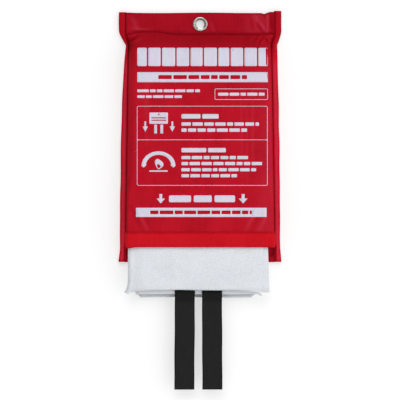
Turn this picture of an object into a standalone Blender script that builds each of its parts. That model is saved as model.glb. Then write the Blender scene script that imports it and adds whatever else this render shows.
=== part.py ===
"""Fire blanket in a hanging pouch, with two pull tapes.

The model is in metres with +Z up.  The wall is the plane y = 0 and the front faces -Y.
The origin is the centre of the hanging eyelet's hole, on the wall plane.

The pouch is a flat back panel and a bulged front panel, caught along both sides in folded
binding tape, closed at the top by a folded header band and open at the bottom.  The folded
blanket stands partly out of the open bottom, and two webbing tapes hang from it.
"""

import math

import bpy
import bmesh
from mathutils import Matrix, Vector

MM = 0.001

# ---- Cloth, thread and fits ------------------------------------------------------------
FABRIC = 0.6 * MM              # thickness of the pouch's coated cloth
THREAD = 0.4 * MM              # thickness of the sewing thread
CLEARANCE = 0.3 * MM           # gap between pieces that lie on each other
SLIDE_CLEARANCE = 0.4 * MM     # gap between the folded blanket and what it slides in
MOUTH_PLAY = 0.5 * MM          # gap between the folded blanket and the mouth band before it

# ---- Pouch -----------------------------------------------------------------------------
POUCH_WIDTH = 201.0 * MM       # over the side bindings, at the header
POUCH_HEIGHT = 309.2 * MM      # from the header's top edge to the back panel's lower edge
TOP_ABOVE_EYELET = 13.9 * MM   # header's top edge above the eyelet's centre
HEADER_HEIGHT = 25.9 * MM      # height of the folded header band
BACK_DROP = 18.9 * MM          # how far the back panel runs below the front panel
WAIST_DROP = 26.0 * MM         # depth of the waist below the eyelet's centre
WAIST_PINCH = 6.4 * MM         # how far each side pulls in at the waist
FOOT_PINCH = 0.4 * MM          # how far each side is pulled in at the bottom
SHOULDER_LENGTH = 32.0 * MM    # height over which the front panel swells to its full depth
CORNER_WIDTH = 10.0 * MM       # width of the front panel's rounded sides
CROWN = 1.2 * MM               # extra swell at the middle of the front panel
SIDE_STRIP = 1.8 * MM          # flat strip between a side binding and the swell
CORNER_STEPS = 8               # points round each rounded side
MIDDLE_STEPS = 8               # points across the front between them

# ---- Bindings, hems and seams ----------------------------------------------------------
BINDING_WIDTH = 8.0 * MM
BINDING_PROUD = 1.0 * MM       # how far a side binding stands above the header's top edge
MOUTH_BAND = 17.7 * MM         # height of the band folded round the front panel's lower edge
BACK_HEM = 8.0 * MM            # height of the hem folded round the back panel's lower edge
SEAM_ALLOWANCE = 5.6 * MM      # how far the front panel runs up inside the header band
SEAM_INSET = 1.4 * MM          # from a band's free edge to its line of stitches

# ---- Eyelet ----------------------------------------------------------------------------
EYELET_BORE = 9.6 * MM
EYELET_WALL = 0.5 * MM
EYELET_FLANGE = 18.2 * MM      # outer diameter of the front flange
FLANGE_HEIGHT = 1.2 * MM
WASHER_DIAMETER = 17.2 * MM
WASHER_THICKNESS = 0.8 * MM
ROUND_SEGMENTS = 48

# ---- Folded blanket --------------------------------------------------------------------
PACK_DEPTH = 20.2 * MM
PACK_SHOWING = 44.0 * MM       # how far the blanket stands out below the back panel
STOW_TRAVEL = 45.0 * MM        # how far it can still be pushed up into the pouch
PACK_SIDE_SLACK = 4.0 * MM     # how much less it fills the pouch's right side
PACK_CORNER = 16.0 * MM        # width of its rounded sides
FOLD_RADIUS = 9.0 * MM         # height over which its top and bottom round off
FRONT_LAYER = 3.6 * MM         # thickness of the layer in front of the tapes
FRONT_LAYER_RISE = 10.3 * MM   # how far that layer ends above the blanket's lowest fold
TAPE_POCKET = 3.0 * MM         # gap between that layer and the folds, where the tapes go
FOLD_STEPS = 5                 # rings in each rounded end
PACK_RUNS = 8                  # rings between them
PACK_AROUND = 40               # points in each ring

# ---- Pull tapes ------------------------------------------------------------------------
TAPE_WIDTH = 24.8 * MM
TAPE_THICKNESS = 1.4 * MM
TAPE_DROP = 112.7 * MM         # free length below the blanket
TAPE_SPACING = 33.7 * MM       # from one tape's middle to the other's
TAPES_OFFSET = -2.2 * MM       # the pair's middle, off the pouch's middle
TAPE_SEWN_LENGTH = 48.0 * MM   # length of tape inside the blanket
STITCH_BOX = 20.0 * MM         # side of the square of stitches that holds each tape

# ---- Levels that follow ----------------------------------------------------------------
HALF_WIDTH = POUCH_WIDTH / 2
TOP = TOP_ABOVE_EYELET
BOTTOM = TOP - POUCH_HEIGHT
HEADER_FOOT = TOP - HEADER_HEIGHT
MOUTH = BOTTOM + BACK_DROP
SHOULDER_TOP = HEADER_FOOT - 0.5 * MM
SHOULDER_FOOT = SHOULDER_TOP - SHOULDER_LENGTH
BORE_RADIUS = EYELET_BORE / 2
BARREL_RADIUS = BORE_RADIUS + EYELET_WALL
PACK_TOP = SHOULDER_FOOT - STOW_TRAVEL
PACK_BOTTOM = BOTTOM - PACK_SHOWING
TAPE_CREASE = PACK_BOTTOM - 0.7 * MM

# Four layers of cloth lie one in front of the other, from the wall outwards.
REAR_FOLD, BACK, FRONT, FRONT_FOLD = range(4)


def layer_rear(layer):
    """The y of a layer's rear face."""
    return -(WASHER_THICKNESS + CLEARANCE + layer * (FABRIC + CLEARANCE))


def layer_front(layer):
    """The y of a layer's front face."""
    return layer_rear(layer) - FABRIC


FRONT_MIDDLE = layer_rear(FRONT) - FABRIC / 2
PACK_REAR = layer_front(FRONT) - SLIDE_CLEARANCE
PACK_FRONT = PACK_REAR - PACK_DEPTH
BAND_INSIDE = FABRIC * 1.5 + CLEARANCE
SWELL_DEPTH = FRONT_MIDDLE + BAND_INSIDE - PACK_FRONT + MOUTH_PLAY
POCKET_FRONT = PACK_FRONT + FRONT_LAYER
POCKET_REAR = POCKET_FRONT + TAPE_POCKET
TAPE_REAR = POCKET_REAR - CLEARANCE
TAPE_FRONT = TAPE_REAR - TAPE_THICKNESS


# ---- Outlines --------------------------------------------------------------------------

def edge_x(height):
    """Half the pouch's width at a height: straight header, pinched waist, spreading foot."""
    waist = HALF_WIDTH - WAIST_PINCH
    foot = HALF_WIDTH - FOOT_PINCH
    if height >= HEADER_FOOT:
        return HALF_WIDTH
    if height >= -WAIST_DROP:
        part = (HEADER_FOOT - height) / (HEADER_FOOT + WAIST_DROP)
        return HALF_WIDTH - WAIST_PINCH * (1 - math.cos(math.pi * part)) / 2
    part = min((-WAIST_DROP - height) / (-WAIST_DROP - BOTTOM), 1.0)
    return waist + (foot - waist) * (1 - (1 - part) ** 2)


def swell_x(height):
    """Half the width of the front panel's swell."""
    return edge_x(height) - BINDING_WIDTH - SIDE_STRIP


def swell_depth(height):
    """How far the front panel stands out at a height."""
    part = (SHOULDER_TOP - height) / SHOULDER_LENGTH
    return SWELL_DEPTH * math.sin(math.pi / 2 * min(max(part, 0.0), 1.0))


def heights_between(top, bottom, longest):
    """Heights from top to bottom, no further apart than longest, closer at the shoulder."""
    marks = [top]
    for mark in (HEADER_FOOT, SHOULDER_TOP, -WAIST_DROP, SHOULDER_FOOT, MOUTH):
        if top > mark > bottom:
            marks.append(mark)
    marks.append(bottom)
    heights = [top]
    for upper, lower in zip(marks, marks[1:]):
        step = longest if lower < SHOULDER_FOOT else longest / 6
        count = max(1, math.ceil((upper - lower) / step))
        heights += [upper + (lower - upper) * i / count for i in range(1, count + 1)]
    return heights


def swell_section(height, offset):
    """The front panel's swell as (x, y) points from left to right, offset outwards."""
    reach = swell_x(height)
    depth = swell_depth(height)
    flat = reach - CORNER_WIDTH
    share = depth / SWELL_DEPTH
    right = []
    for step in range(CORNER_STEPS + 1):
        angle = math.pi / 2 * step / CORNER_STEPS
        x = flat + CORNER_WIDTH * math.cos(angle)
        y = FRONT_MIDDLE - depth * math.sin(angle)
        if step == 0:
            # the mitre where the flat strip turns into the swell's side
            lean = depth / (depth + FABRIC)
            right.append((x + offset * lean, y - offset))
            continue
        normal = Vector((depth * math.cos(angle), -CORNER_WIDTH * math.sin(angle)))
        normal.normalize()
        right.append((x + offset * normal.x, y + offset * normal.y))
    half = []
    for step in range(1, MIDDLE_STEPS // 2 + 1):
        x = flat * (1 - 2 * step / MIDDLE_STEPS)
        swell = CROWN * share * math.cos(math.pi / 2 * x / flat)
        half.append((x, FRONT_MIDDLE - depth - swell - offset))
    right += half
    left = [(-x, y) for x, y in right[:-1]]
    return left + right[::-1]


# ---- Mesh and object helpers -----------------------------------------------------------

def strip_caps(count):
    """End faces for a ring whose first half runs out and whose second half runs back."""
    last = 2 * count - 1
    return [(i, i + 1, last - i - 1, last - i) for i in range(count - 1)]


CHANNEL_CAPS = [(0, 1, 2, 3), (0, 3, 4, 7), (4, 5, 6, 7)]


def make_object(name, work, finish):
    """Turn a bmesh into a named object with its faces pointing out and its own material."""
    bmesh.ops.recalc_face_normals(work, faces=work.faces)
    mesh = bpy.data.meshes.new(name)
    work.to_mesh(mesh)
    work.free()
    built = bpy.data.objects.new(name, mesh)
    bpy.context.scene.collection.objects.link(built)
    red, green, blue, roughness, metallic = finish
    material = bpy.data.materials.new(name)
    material.use_nodes = True
    shader = material.node_tree.nodes["Principled BSDF"]
    shader.inputs["Base Color"].default_value = (red, green, blue, 1.0)
    shader.inputs["Roughness"].default_value = roughness
    shader.inputs["Metallic"].default_value = metallic
    mesh.materials.append(material)
    return built


def loft(name, rings, finish, caps=None):
    """A closed body through rings of points, with a face over each end."""
    work = bmesh.new()
    rows = [[work.verts.new(point) for point in ring] for ring in rings]
    count = len(rows[0])
    for near, far in zip(rows, rows[1:]):
        for i in range(count):
            j = (i + 1) % count
            work.faces.new((near[i], near[j], far[j], far[i]))
    for row in (rows[0], rows[-1]):
        for corners in caps or [tuple(range(count))]:
            work.faces.new([row[i] for i in corners])
    return make_object(name, work, finish)


def box(name, low, high, finish):
    """A closed box between two corners."""
    ring = [(low[0], low[1]), (high[0], low[1]), (high[0], high[1]), (low[0], high[1])]
    rings = [[(x, y, z) for x, y in ring] for z in (low[2], high[2])]
    return loft(name, rings, finish)


def turned(name, profile, finish):
    """A ring turned round the Y axis from a closed profile of (radius, y) points."""
    work = bmesh.new()
    rows = []
    for step in range(ROUND_SEGMENTS):
        angle = 2 * math.pi * step / ROUND_SEGMENTS
        across, up = math.cos(angle), math.sin(angle)
        rows.append([work.verts.new((r * across, y, r * up)) for r, y in profile])
    count = len(profile)
    for near, far in zip(rows, rows[1:] + rows[:1]):
        for i in range(count):
            j = (i + 1) % count
            work.faces.new((near[i], near[j], far[j], far[i]))
    return make_object(name, work, finish)


def cutter(shape):
    """Mark an object as a cutting tool that isn't part of the model."""
    shape.hide_render = True
    shape.display_type = "WIRE"
    return shape


def cut(target, tool, label):
    """Cut a tool's shape out of a target."""
    modifier = target.modifiers.new(label, "BOOLEAN")
    modifier.operation = "DIFFERENCE"
    modifier.object = tool


def hang_on(piece, empty):
    """Give a piece its origin at an empty and parent it there, without moving it."""
    place = empty.matrix_world.translation.copy()
    piece.data.transform(Matrix.Translation(-place))
    piece.parent = empty


def add_empty(name, place, parent=None):
    """An empty at a world place, under another empty if one is given."""
    empty = bpy.data.objects.new(name, None)
    bpy.context.scene.collection.objects.link(empty)
    empty.parent = parent
    empty.location = Vector(place) - (parent.location if parent else Vector())
    bpy.context.view_layer.update()
    return empty


# ---- Finishes: red, green, blue in linear light, roughness, metallic --------------------
PANEL_RED = (0.47, 0.010, 0.020, 0.62, 0.0)
HEADER_RED = (0.35, 0.006, 0.015, 0.62, 0.0)
BAND_RED = (0.57, 0.010, 0.020, 0.62, 0.0)
THREAD_RED = (0.40, 0.015, 0.025, 0.80, 0.0)
GLASS_CLOTH = (0.77, 0.79, 0.82, 0.85, 0.0)
WEBBING = (0.016, 0.016, 0.016, 0.80, 0.0)
STEEL = (0.55, 0.54, 0.52, 0.25, 1.0)


# ---- Pouch -----------------------------------------------------------------------------

def eyelet_hole():
    """The round hole for the eyelet's barrel, as a cutting tool."""
    radius = BARREL_RADIUS + CLEARANCE + 0.1 * MM
    rings = []
    for y in (5 * MM, -15 * MM):
        ring = []
        for step in range(ROUND_SEGMENTS):
            angle = 2 * math.pi * step / ROUND_SEGMENTS
            ring.append((radius * math.cos(angle), y, radius * math.sin(angle)))
        rings.append(ring)
    return cutter(loft("eyelet_hole_tool", rings, STEEL))


def build_back_panel(hole):
    """The flat sheet that lies along the wall."""
    rings = []
    for height in heights_between(TOP - FABRIC - CLEARANCE, BOTTOM + FABRIC + CLEARANCE, 24 * MM):
        reach = edge_x(height) - FABRIC - CLEARANCE
        rear, front = layer_rear(BACK), layer_front(BACK)
        ring = [(-reach, rear), (reach, rear), (reach, front), (-reach, front)]
        rings.append([(x, y, height) for x, y in ring])
    panel = loft("back_panel", rings, PANEL_RED)
    cut(panel, hole, "eyelet_hole")


def build_front_panel():
    """The bulged sheet that makes the pocket, flat where the seams catch it."""
    rings = []
    count = 0
    for height in heights_between(HEADER_FOOT + SEAM_ALLOWANCE, MOUTH, 24 * MM):
        reach = edge_x(height) - FABRIC - CLEARANCE
        faces = []
        for offset in (FABRIC / 2, -FABRIC / 2):
            side = FRONT_MIDDLE - offset
            faces.append([(-reach, side), *swell_section(height, offset), (reach, side)])
        outer, inner = faces
        count = len(outer)
        rings.append([(x, y, height) for x, y in outer + inner[::-1]])
    loft("front_panel", rings, PANEL_RED, strip_caps(count))


def folded_round_both(reach_out, reach_in, height_of):
    """The eight corners of a fold that wraps all the pouch's layers.

    reach_out and reach_in are the fold's closed and open ends along the direction that
    height_of turns into a point, given that distance and a y.
    """
    inside = reach_out + (FABRIC if reach_in > reach_out else -FABRIC)
    rear, rear_in = layer_rear(REAR_FOLD), layer_front(REAR_FOLD)
    front_in, front = layer_rear(FRONT_FOLD), layer_front(FRONT_FOLD)
    corners = [(reach_out, rear), (reach_in, rear), (reach_in, rear_in), (inside, rear_in)]
    corners += [(inside, front_in), (reach_in, front_in), (reach_in, front), (reach_out, front)]
    return [height_of(distance, y) for distance, y in corners]


def build_side_binding(name, side):
    """The folded tape that holds both panels together down one side."""
    rings = []
    for height in heights_between(TOP + BINDING_PROUD, BOTTOM, 24 * MM):
        edge = edge_x(height)

        def corner(distance, y, height=height):
            return (side * distance, y, height)

        rings.append(folded_round_both(edge, edge - BINDING_WIDTH, corner))
    loft(name, rings, BAND_RED, CHANNEL_CAPS)


def build_header_band(hole):
    """The folded band across the top, between the side bindings."""
    reach = HALF_WIDTH - BINDING_WIDTH - CLEARANCE
    rings = []
    for x in (-reach, reach):

        def corner(distance, y, x=x):
            return (x, y, distance)

        rings.append(folded_round_both(TOP, HEADER_FOOT, corner))
    band = loft("header_band", rings, HEADER_RED, CHANNEL_CAPS)
    cut(band, hole, "eyelet_hole")


def build_mouth_band():
    """The band folded round the front panel's lower edge, following its swell."""
    top = MOUTH + MOUTH_BAND
    inside = MOUTH - CLEARANCE
    outside = inside - FABRIC
    near, far = BAND_INSIDE - FABRIC, BAND_INSIDE
    outline = [(-far, outside), (-far, top), (-near, top), (-near, inside)]
    outline += [(near, inside), (near, top), (far, top), (far, outside)]
    sections = [(swell_section(z, offset), z) for offset, z in outline]
    rings = []
    for i in range(2, len(sections[0][0]) - 2):
        rings.append([(*section[i], z) for section, z in sections])
    loft("mouth_band", rings, BAND_RED, CHANNEL_CAPS)


def build_back_hem():
    """The narrow hem folded round the back panel's lower edge."""
    reach = edge_x(BOTTOM + BACK_HEM) - BINDING_WIDTH - CLEARANCE
    rear, rear_in = layer_rear(REAR_FOLD), layer_front(REAR_FOLD)
    front_in, front = layer_rear(FRONT), layer_front(FRONT)
    top, inside = BOTTOM + BACK_HEM, BOTTOM + FABRIC
    outline = [(rear, BOTTOM), (rear, top), (rear_in, top), (rear_in, inside)]
    outline += [(front_in, inside), (front_in, top), (front, top), (front, BOTTOM)]
    rings = [[(x, y, z) for y, z in outline] for x in (-reach, reach)]
    loft("back_hem", rings, BAND_RED, CHANNEL_CAPS)


# ---- Seams -----------------------------------------------------------------------------

def thread_faces(in_front):
    """The y of a seam thread's two faces, on the front folds or behind the rear folds."""
    if in_front:
        start = layer_front(FRONT_FOLD) - CLEARANCE
        return start, start - THREAD
    start = layer_rear(REAR_FOLD) + CLEARANCE
    return start, start + THREAD


def build_side_seam(name, side, in_front):
    """The thread down one side binding, on its front or its rear fold."""
    near, far = thread_faces(in_front)
    rings = []
    top, bottom = TOP + BINDING_PROUD - SEAM_INSET, BOTTOM + SEAM_INSET
    for height in heights_between(top, bottom, 24 * MM):
        middle = side * (edge_x(height) - BINDING_WIDTH + SEAM_INSET)
        low, high = middle - THREAD / 2, middle + THREAD / 2
        ring = [(low, near), (high, near), (high, far), (low, far)]
        rings.append([(x, y, height) for x, y in ring])
    loft(name, rings, THREAD_RED)


def build_header_seam(name, in_front):
    """The thread that closes the header band, on its front or its rear fold."""
    near, far = thread_faces(in_front)
    reach = HALF_WIDTH - BINDING_WIDTH - CLEARANCE - SEAM_INSET
    middle = HEADER_FOOT + SEAM_INSET
    low = (-reach, min(near, far), middle - THREAD / 2)
    high = (reach, max(near, far), middle + THREAD / 2)
    box(name, low, high, THREAD_RED)


def build_mouth_seam():
    """The thread along the top of the mouth band."""
    middle = MOUTH + MOUTH_BAND - SEAM_INSET
    near = BAND_INSIDE + CLEARANCE
    outline = [(near, middle - THREAD / 2), (near, middle + THREAD / 2)]
    outline += [(near + THREAD, middle + THREAD / 2), (near + THREAD, middle - THREAD / 2)]
    sections = [(swell_section(z, offset), z) for offset, z in outline]
    rings = []
    for i in range(3, len(sections[0][0]) - 3):
        rings.append([(*section[i], z) for section, z in sections])
    loft("mouth_seam_thread", rings, THREAD_RED)


def build_back_hem_seam():
    """The thread along the back hem, seen from behind."""
    near, far = thread_faces(in_front=False)
    reach = edge_x(BOTTOM + BACK_HEM) - BINDING_WIDTH - CLEARANCE - SEAM_INSET
    middle = BOTTOM + BACK_HEM - SEAM_INSET
    low = (-reach, near, middle - THREAD / 2)
    high = (reach, far, middle + THREAD / 2)
    box("back_hem_thread", low, high, THREAD_RED)


# ---- Eyelet ----------------------------------------------------------------------------

def build_eyelet():
    """The barrel and domed front flange, one pressed piece."""
    seat = layer_front(FRONT_FOLD) - CLEARANCE
    rim = EYELET_FLANGE / 2
    middle = (rim + BORE_RADIUS) / 2
    profile = [(BORE_RADIUS, 0.0), (BARREL_RADIUS, 0.0), (BARREL_RADIUS, seat), (rim, seat)]
    dome_steps = 8
    for step in range(1, dome_steps):
        angle = math.pi * step / dome_steps
        radius = middle + (rim - middle) * math.cos(angle)
        profile.append((radius, seat - FLANGE_HEIGHT * math.sin(angle)))
    turned("eyelet", profile, STEEL)


def build_eyelet_washer():
    """The flat ring behind the cloth that the barrel is set into."""
    inner = BARREL_RADIUS + CLEARANCE
    outer = WASHER_DIAMETER / 2
    profile = [(inner, 0.0), (outer, 0.0), (outer, -WASHER_THICKNESS), (inner, -WASHER_THICKNESS)]
    turned("eyelet_washer", profile, STEEL)


# ---- Blanket ---------------------------------------------------------------------------

def pack_reach(height, side):
    """How far the folded blanket reaches to one side, so that it still slides in."""
    depth_share = (FRONT_MIDDLE - (PACK_REAR + PACK_FRONT) / 2) / SWELL_DEPTH
    curve = CORNER_WIDTH * (1 - math.sqrt(1 - depth_share ** 2))
    reach = swell_x(height + STOW_TRAVEL) - curve - BAND_INSIDE - SLIDE_CLEARANCE
    return reach if side < 0 else reach - PACK_SIDE_SLACK


def pack_levels():
    """Heights down the folded blanket, each with how full its section is there."""
    rounds = []
    for step in range(FOLD_STEPS):
        angle = math.pi / 2 * (step + 0.4) / FOLD_STEPS
        rounds.append((FOLD_RADIUS * (1 - math.cos(angle)), math.sin(angle)))
    top = [(PACK_TOP - drop, full) for drop, full in rounds]
    bottom = [(PACK_BOTTOM + rise, full) for rise, full in reversed(rounds)]
    straight = PACK_TOP - PACK_BOTTOM - 2 * FOLD_RADIUS
    start = PACK_TOP - FOLD_RADIUS
    middle = [(start - straight * step / PACK_RUNS, 1.0) for step in range(PACK_RUNS + 1)]
    return top + middle + bottom


def pack_ring(height, full):
    """The folded blanket's outline at a height, flat front and rear with rounded sides."""
    inset = FOLD_RADIUS / 2 * (1 - full)
    middle = (PACK_REAR + PACK_FRONT) / 2
    ring = []
    for step in range(PACK_AROUND):
        angle = 2 * math.pi * (step + 0.5) / PACK_AROUND
        side = 1 if math.cos(angle) > 0 else -1
        reach = pack_reach(height, side) - inset
        x = side * (reach - PACK_CORNER) + PACK_CORNER * math.cos(angle)
        ring.append((x, middle + PACK_DEPTH / 2 * full * math.sin(angle), height))
    return ring


def build_blanket():
    """The folded cloth, with a front layer that ends above the lowest fold."""
    blanket = loft("blanket", [pack_ring(*level) for level in pack_levels()], GLASS_CLOTH)
    margin = 10 * MM
    low = (-POUCH_WIDTH, PACK_FRONT - margin, PACK_BOTTOM - margin)
    high = (POUCH_WIDTH, POCKET_FRONT, PACK_BOTTOM + FRONT_LAYER_RISE)
    cut(blanket, cutter(box("front_step_tool", low, high, STEEL)), "front_step")
    return blanket


def tape_middle(side):
    """The x of a tape's middle line."""
    return TAPES_OFFSET + side * TAPE_SPACING / 2


def cut_tape_pocket(blanket, name, side):
    """Open a pocket in the blanket for one tape's sewn end."""
    reach = TAPE_WIDTH / 2 + CLEARANCE
    middle = tape_middle(side)
    low = (middle - reach, POCKET_FRONT, TAPE_CREASE - TAPE_WIDTH)
    high = (middle + reach, POCKET_REAR, TAPE_CREASE + TAPE_SEWN_LENGTH + CLEARANCE)
    cut(blanket, cutter(box(name, low, high, STEEL)), name)


def build_sewn_end(name, side):
    """The end of a tape that is sewn inside the blanket."""
    middle = tape_middle(side)
    low = (middle - TAPE_WIDTH / 2, TAPE_FRONT, TAPE_CREASE + CLEARANCE)
    high = (middle + TAPE_WIDTH / 2, TAPE_REAR, TAPE_CREASE + TAPE_SEWN_LENGTH)
    return box(name, low, high, WEBBING)


def build_free_tape(name, side):
    """The part of a tape that hangs below the blanket and is pulled."""
    middle = tape_middle(side)
    low = (middle - TAPE_WIDTH / 2, TAPE_FRONT, TAPE_CREASE - TAPE_DROP)
    high = (middle + TAPE_WIDTH / 2, TAPE_REAR, TAPE_CREASE - CLEARANCE)
    return box(name, low, high, WEBBING)


def build_box_stitch(name, side):
    """The square of stitches that holds a tape's sewn end."""
    front = TAPE_FRONT - CLEARANCE
    middle = tape_middle(side)
    centre = TAPE_CREASE + TAPE_SEWN_LENGTH - SEAM_INSET - STITCH_BOX / 2
    rows = []
    for y in (front, front - THREAD):
        for half in (STITCH_BOX / 2, STITCH_BOX / 2 - THREAD):
            square = [(-half, -half), (half, -half), (half, half), (-half, half)]
            rows.append([(middle + x, y, centre + z) for x, z in square])
    outer_near, inner_near, outer_far, inner_far = rows
    work = bmesh.new()
    rings = [outer_near, inner_near, inner_far, outer_far]
    made = [[work.verts.new(point) for point in ring] for ring in rings]
    for near, far in zip(made, made[1:] + made[:1]):
        for i in range(4):
            j = (i + 1) % 4
            work.faces.new((near[i], near[j], far[j], far[i]))
    return make_object(name, work, WEBBING)


# ---- Assembly --------------------------------------------------------------------------

def clear_scene():
    """Remove whatever the scene holds."""
    for leftover in list(bpy.data.objects):
        bpy.data.objects.remove(leftover)


def build_pouch():
    """The sewn pouch and its eyelet, which hang on the wall."""
    hole = eyelet_hole()
    build_back_panel(hole)
    build_front_panel()
    build_header_band(hole)
    build_mouth_band()
    build_back_hem()
    for side, word in ((-1, "left"), (1, "right")):
        build_side_binding(f"{word}_binding", side)
        build_side_seam(f"{word}_seam_thread", side, in_front=True)
        build_side_seam(f"{word}_seam_rear_thread", side, in_front=False)
    build_header_seam("header_seam_thread", in_front=True)
    build_header_seam("header_seam_rear_thread", in_front=False)
    build_mouth_seam()
    build_back_hem_seam()
    build_eyelet()
    build_eyelet_washer()


def build_contents():
    """The blanket on its slide, and each tape on the crease that it swings about."""
    slide = add_empty("blanket_slide", (0.0, (PACK_REAR + PACK_FRONT) / 2, PACK_TOP))
    blanket = build_blanket()
    for side, word in ((-1, "left"), (1, "right")):
        cut_tape_pocket(blanket, f"{word}_tape_pocket_tool", side)
        hang_on(build_sewn_end(f"{word}_tape_sewn_end", side), slide)
        hang_on(build_box_stitch(f"{word}_tape_stitching", side), slide)
        # the crease runs along the tape's front face, so the tape folds forwards freely
        place = (tape_middle(side), TAPE_FRONT, TAPE_CREASE)
        crease = add_empty(f"{word}_tape_crease", place, slide)
        hang_on(build_free_tape(f"{word}_pull_tape", side), crease)
    hang_on(blanket, slide)


clear_scene()
build_pouch()
build_contents()
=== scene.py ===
"""Looks for a fire blanket in a hanging pouch with two pull tapes.

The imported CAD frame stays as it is.  Every piece here is built in metres in the frame's own
axes: +Z is up, the wall is the plane y = 0, the front faces -Y, and the origin is the centre
of the hanging eyelet's hole.
"""

import logging
import math
from dataclasses import dataclass
from enum import Enum
from typing import ClassVar, Iterable, Mapping, Sequence

import bmesh
import bpy
import numpy as np
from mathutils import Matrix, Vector
from mathutils.geometry import delaunay_2d_cdt

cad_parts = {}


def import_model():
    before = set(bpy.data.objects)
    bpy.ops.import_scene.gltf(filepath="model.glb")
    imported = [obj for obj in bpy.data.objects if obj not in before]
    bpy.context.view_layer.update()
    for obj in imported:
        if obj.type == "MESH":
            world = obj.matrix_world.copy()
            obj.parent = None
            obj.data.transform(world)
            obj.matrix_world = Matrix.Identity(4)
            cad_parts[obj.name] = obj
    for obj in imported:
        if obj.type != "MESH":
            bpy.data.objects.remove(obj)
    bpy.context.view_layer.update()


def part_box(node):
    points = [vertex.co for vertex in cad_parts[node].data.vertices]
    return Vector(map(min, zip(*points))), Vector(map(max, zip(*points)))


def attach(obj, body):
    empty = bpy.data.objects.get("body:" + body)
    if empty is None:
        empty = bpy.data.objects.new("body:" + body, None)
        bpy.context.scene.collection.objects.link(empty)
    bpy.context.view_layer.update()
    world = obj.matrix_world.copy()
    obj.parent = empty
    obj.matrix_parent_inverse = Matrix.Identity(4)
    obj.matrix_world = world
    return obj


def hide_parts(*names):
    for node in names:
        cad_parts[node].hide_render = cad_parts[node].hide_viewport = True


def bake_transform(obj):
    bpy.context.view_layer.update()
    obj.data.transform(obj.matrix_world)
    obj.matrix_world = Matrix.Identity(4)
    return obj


MM = 0.001
CLOTH_MAP = "cloth"
SHADE = "shade"
# painted shade per metre of crease relief
PAINTED_SHADE_PER_METRE = 420.0

log = logging.getLogger("fire_blanket")

Colour = tuple[float, float, float]
Spot = tuple[float, float]
Loop = list[Spot]


class Slot(Enum):
    """The record's material slots."""

    PANEL = "red_panel_cloth"
    HEADER = "dark_red_header_cloth"
    BINDING = "bright_red_binding"
    THREAD = "red_thread"
    GLASS = "white_glass_cloth"
    WEBBING = "black_webbing"
    STEEL = "nickelled_steel"


class Held(Enum):
    """How a sheet of cloth is held."""

    HUNG = "hung"
    FOLDED = "folded"
    STRETCHED = "stretched"


# ---- Small helpers ---------------------------------------------------------------------

def mm(*numbers: float) -> tuple[float, ...]:
    """Millimetres as metres."""
    return tuple(number * MM for number in numbers)


def screen(red: float, green: float, blue: float) -> Colour:
    """A colour given from 0 to 255 as shown on a screen, in linear light."""
    shares = (red / 255, green / 255, blue / 255)
    return tuple(s / 12.92 if s <= 0.04045 else ((s + 0.055) / 1.055) ** 2.4 for s in shares)


def ease(value: np.ndarray | float, start: float, end: float) -> np.ndarray:
    """A smooth step from 0 at start to 1 at end."""
    share = np.clip((np.asarray(value, float) - start) / (end - start), 0.0, 1.0)
    return share * share * (3 - 2 * share)


def bell(value: np.ndarray | float, middle: float, width: float) -> np.ndarray:
    """A soft bump of height 1 at the middle."""
    return np.exp(-(((np.asarray(value, float) - middle) / width) ** 2))


def steps(*marks: tuple[float, float]) -> np.ndarray:
    """Numbers through marks, each given as (mark, longest step up to the next mark)."""
    found = [np.array([marks[0][0]])]
    for (near, longest), (far, _) in zip(marks, marks[1:]):
        count = max(1, math.ceil(abs(far - near) / longest))
        found.append(np.linspace(near, far, count + 1)[1:])
    return np.concatenate(found)


# ---- Shader nodes ----------------------------------------------------------------------

class Wire:
    """One shader socket that can be used in arithmetic."""

    def __init__(self, tree: "Tree", socket: bpy.types.NodeSocket) -> None:
        """Keep the socket and the tree it belongs to."""
        self.tree = tree
        self.socket = socket

    def math(self, operation: str, *others: "Wire | float") -> "Wire":
        """This value through a Math node with the others."""
        return self.tree.add("Math", {"operation": operation}, dict(enumerate((self, *others))))

    def __add__(self, other: "Wire | float") -> "Wire":
        """Sum."""
        return self.math("ADD", other)

    __radd__ = __add__

    def __mul__(self, other: "Wire | float") -> "Wire":
        """Product."""
        return self.math("MULTIPLY", other)

    __rmul__ = __mul__

    def __sub__(self, other: "Wire | float") -> "Wire":
        """Difference."""
        return self.math("SUBTRACT", other)

    def __rsub__(self, other: float) -> "Wire":
        """Difference from a number."""
        return self.tree.add("Math", {"operation": "SUBTRACT"}, {0: other, 1: self})

    def __truediv__(self, other: float) -> "Wire":
        """Quotient by a number."""
        return self.math("MULTIPLY", 1 / other)

    def waves(self, length: float) -> "Wire":
        """A sine along this value, from -1 to 1, with the given wave length."""
        return (self * (2 * math.pi / length)).math("SINE")

    def clipped(self) -> "Wire":
        """This value held between 0 and 1."""
        return self.math("MAXIMUM", 0.0).math("MINIMUM", 1.0)

Setting = Mapping[str, object]
Feeds = Mapping[str | int, "Wire | float | Sequence[float]"]


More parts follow.
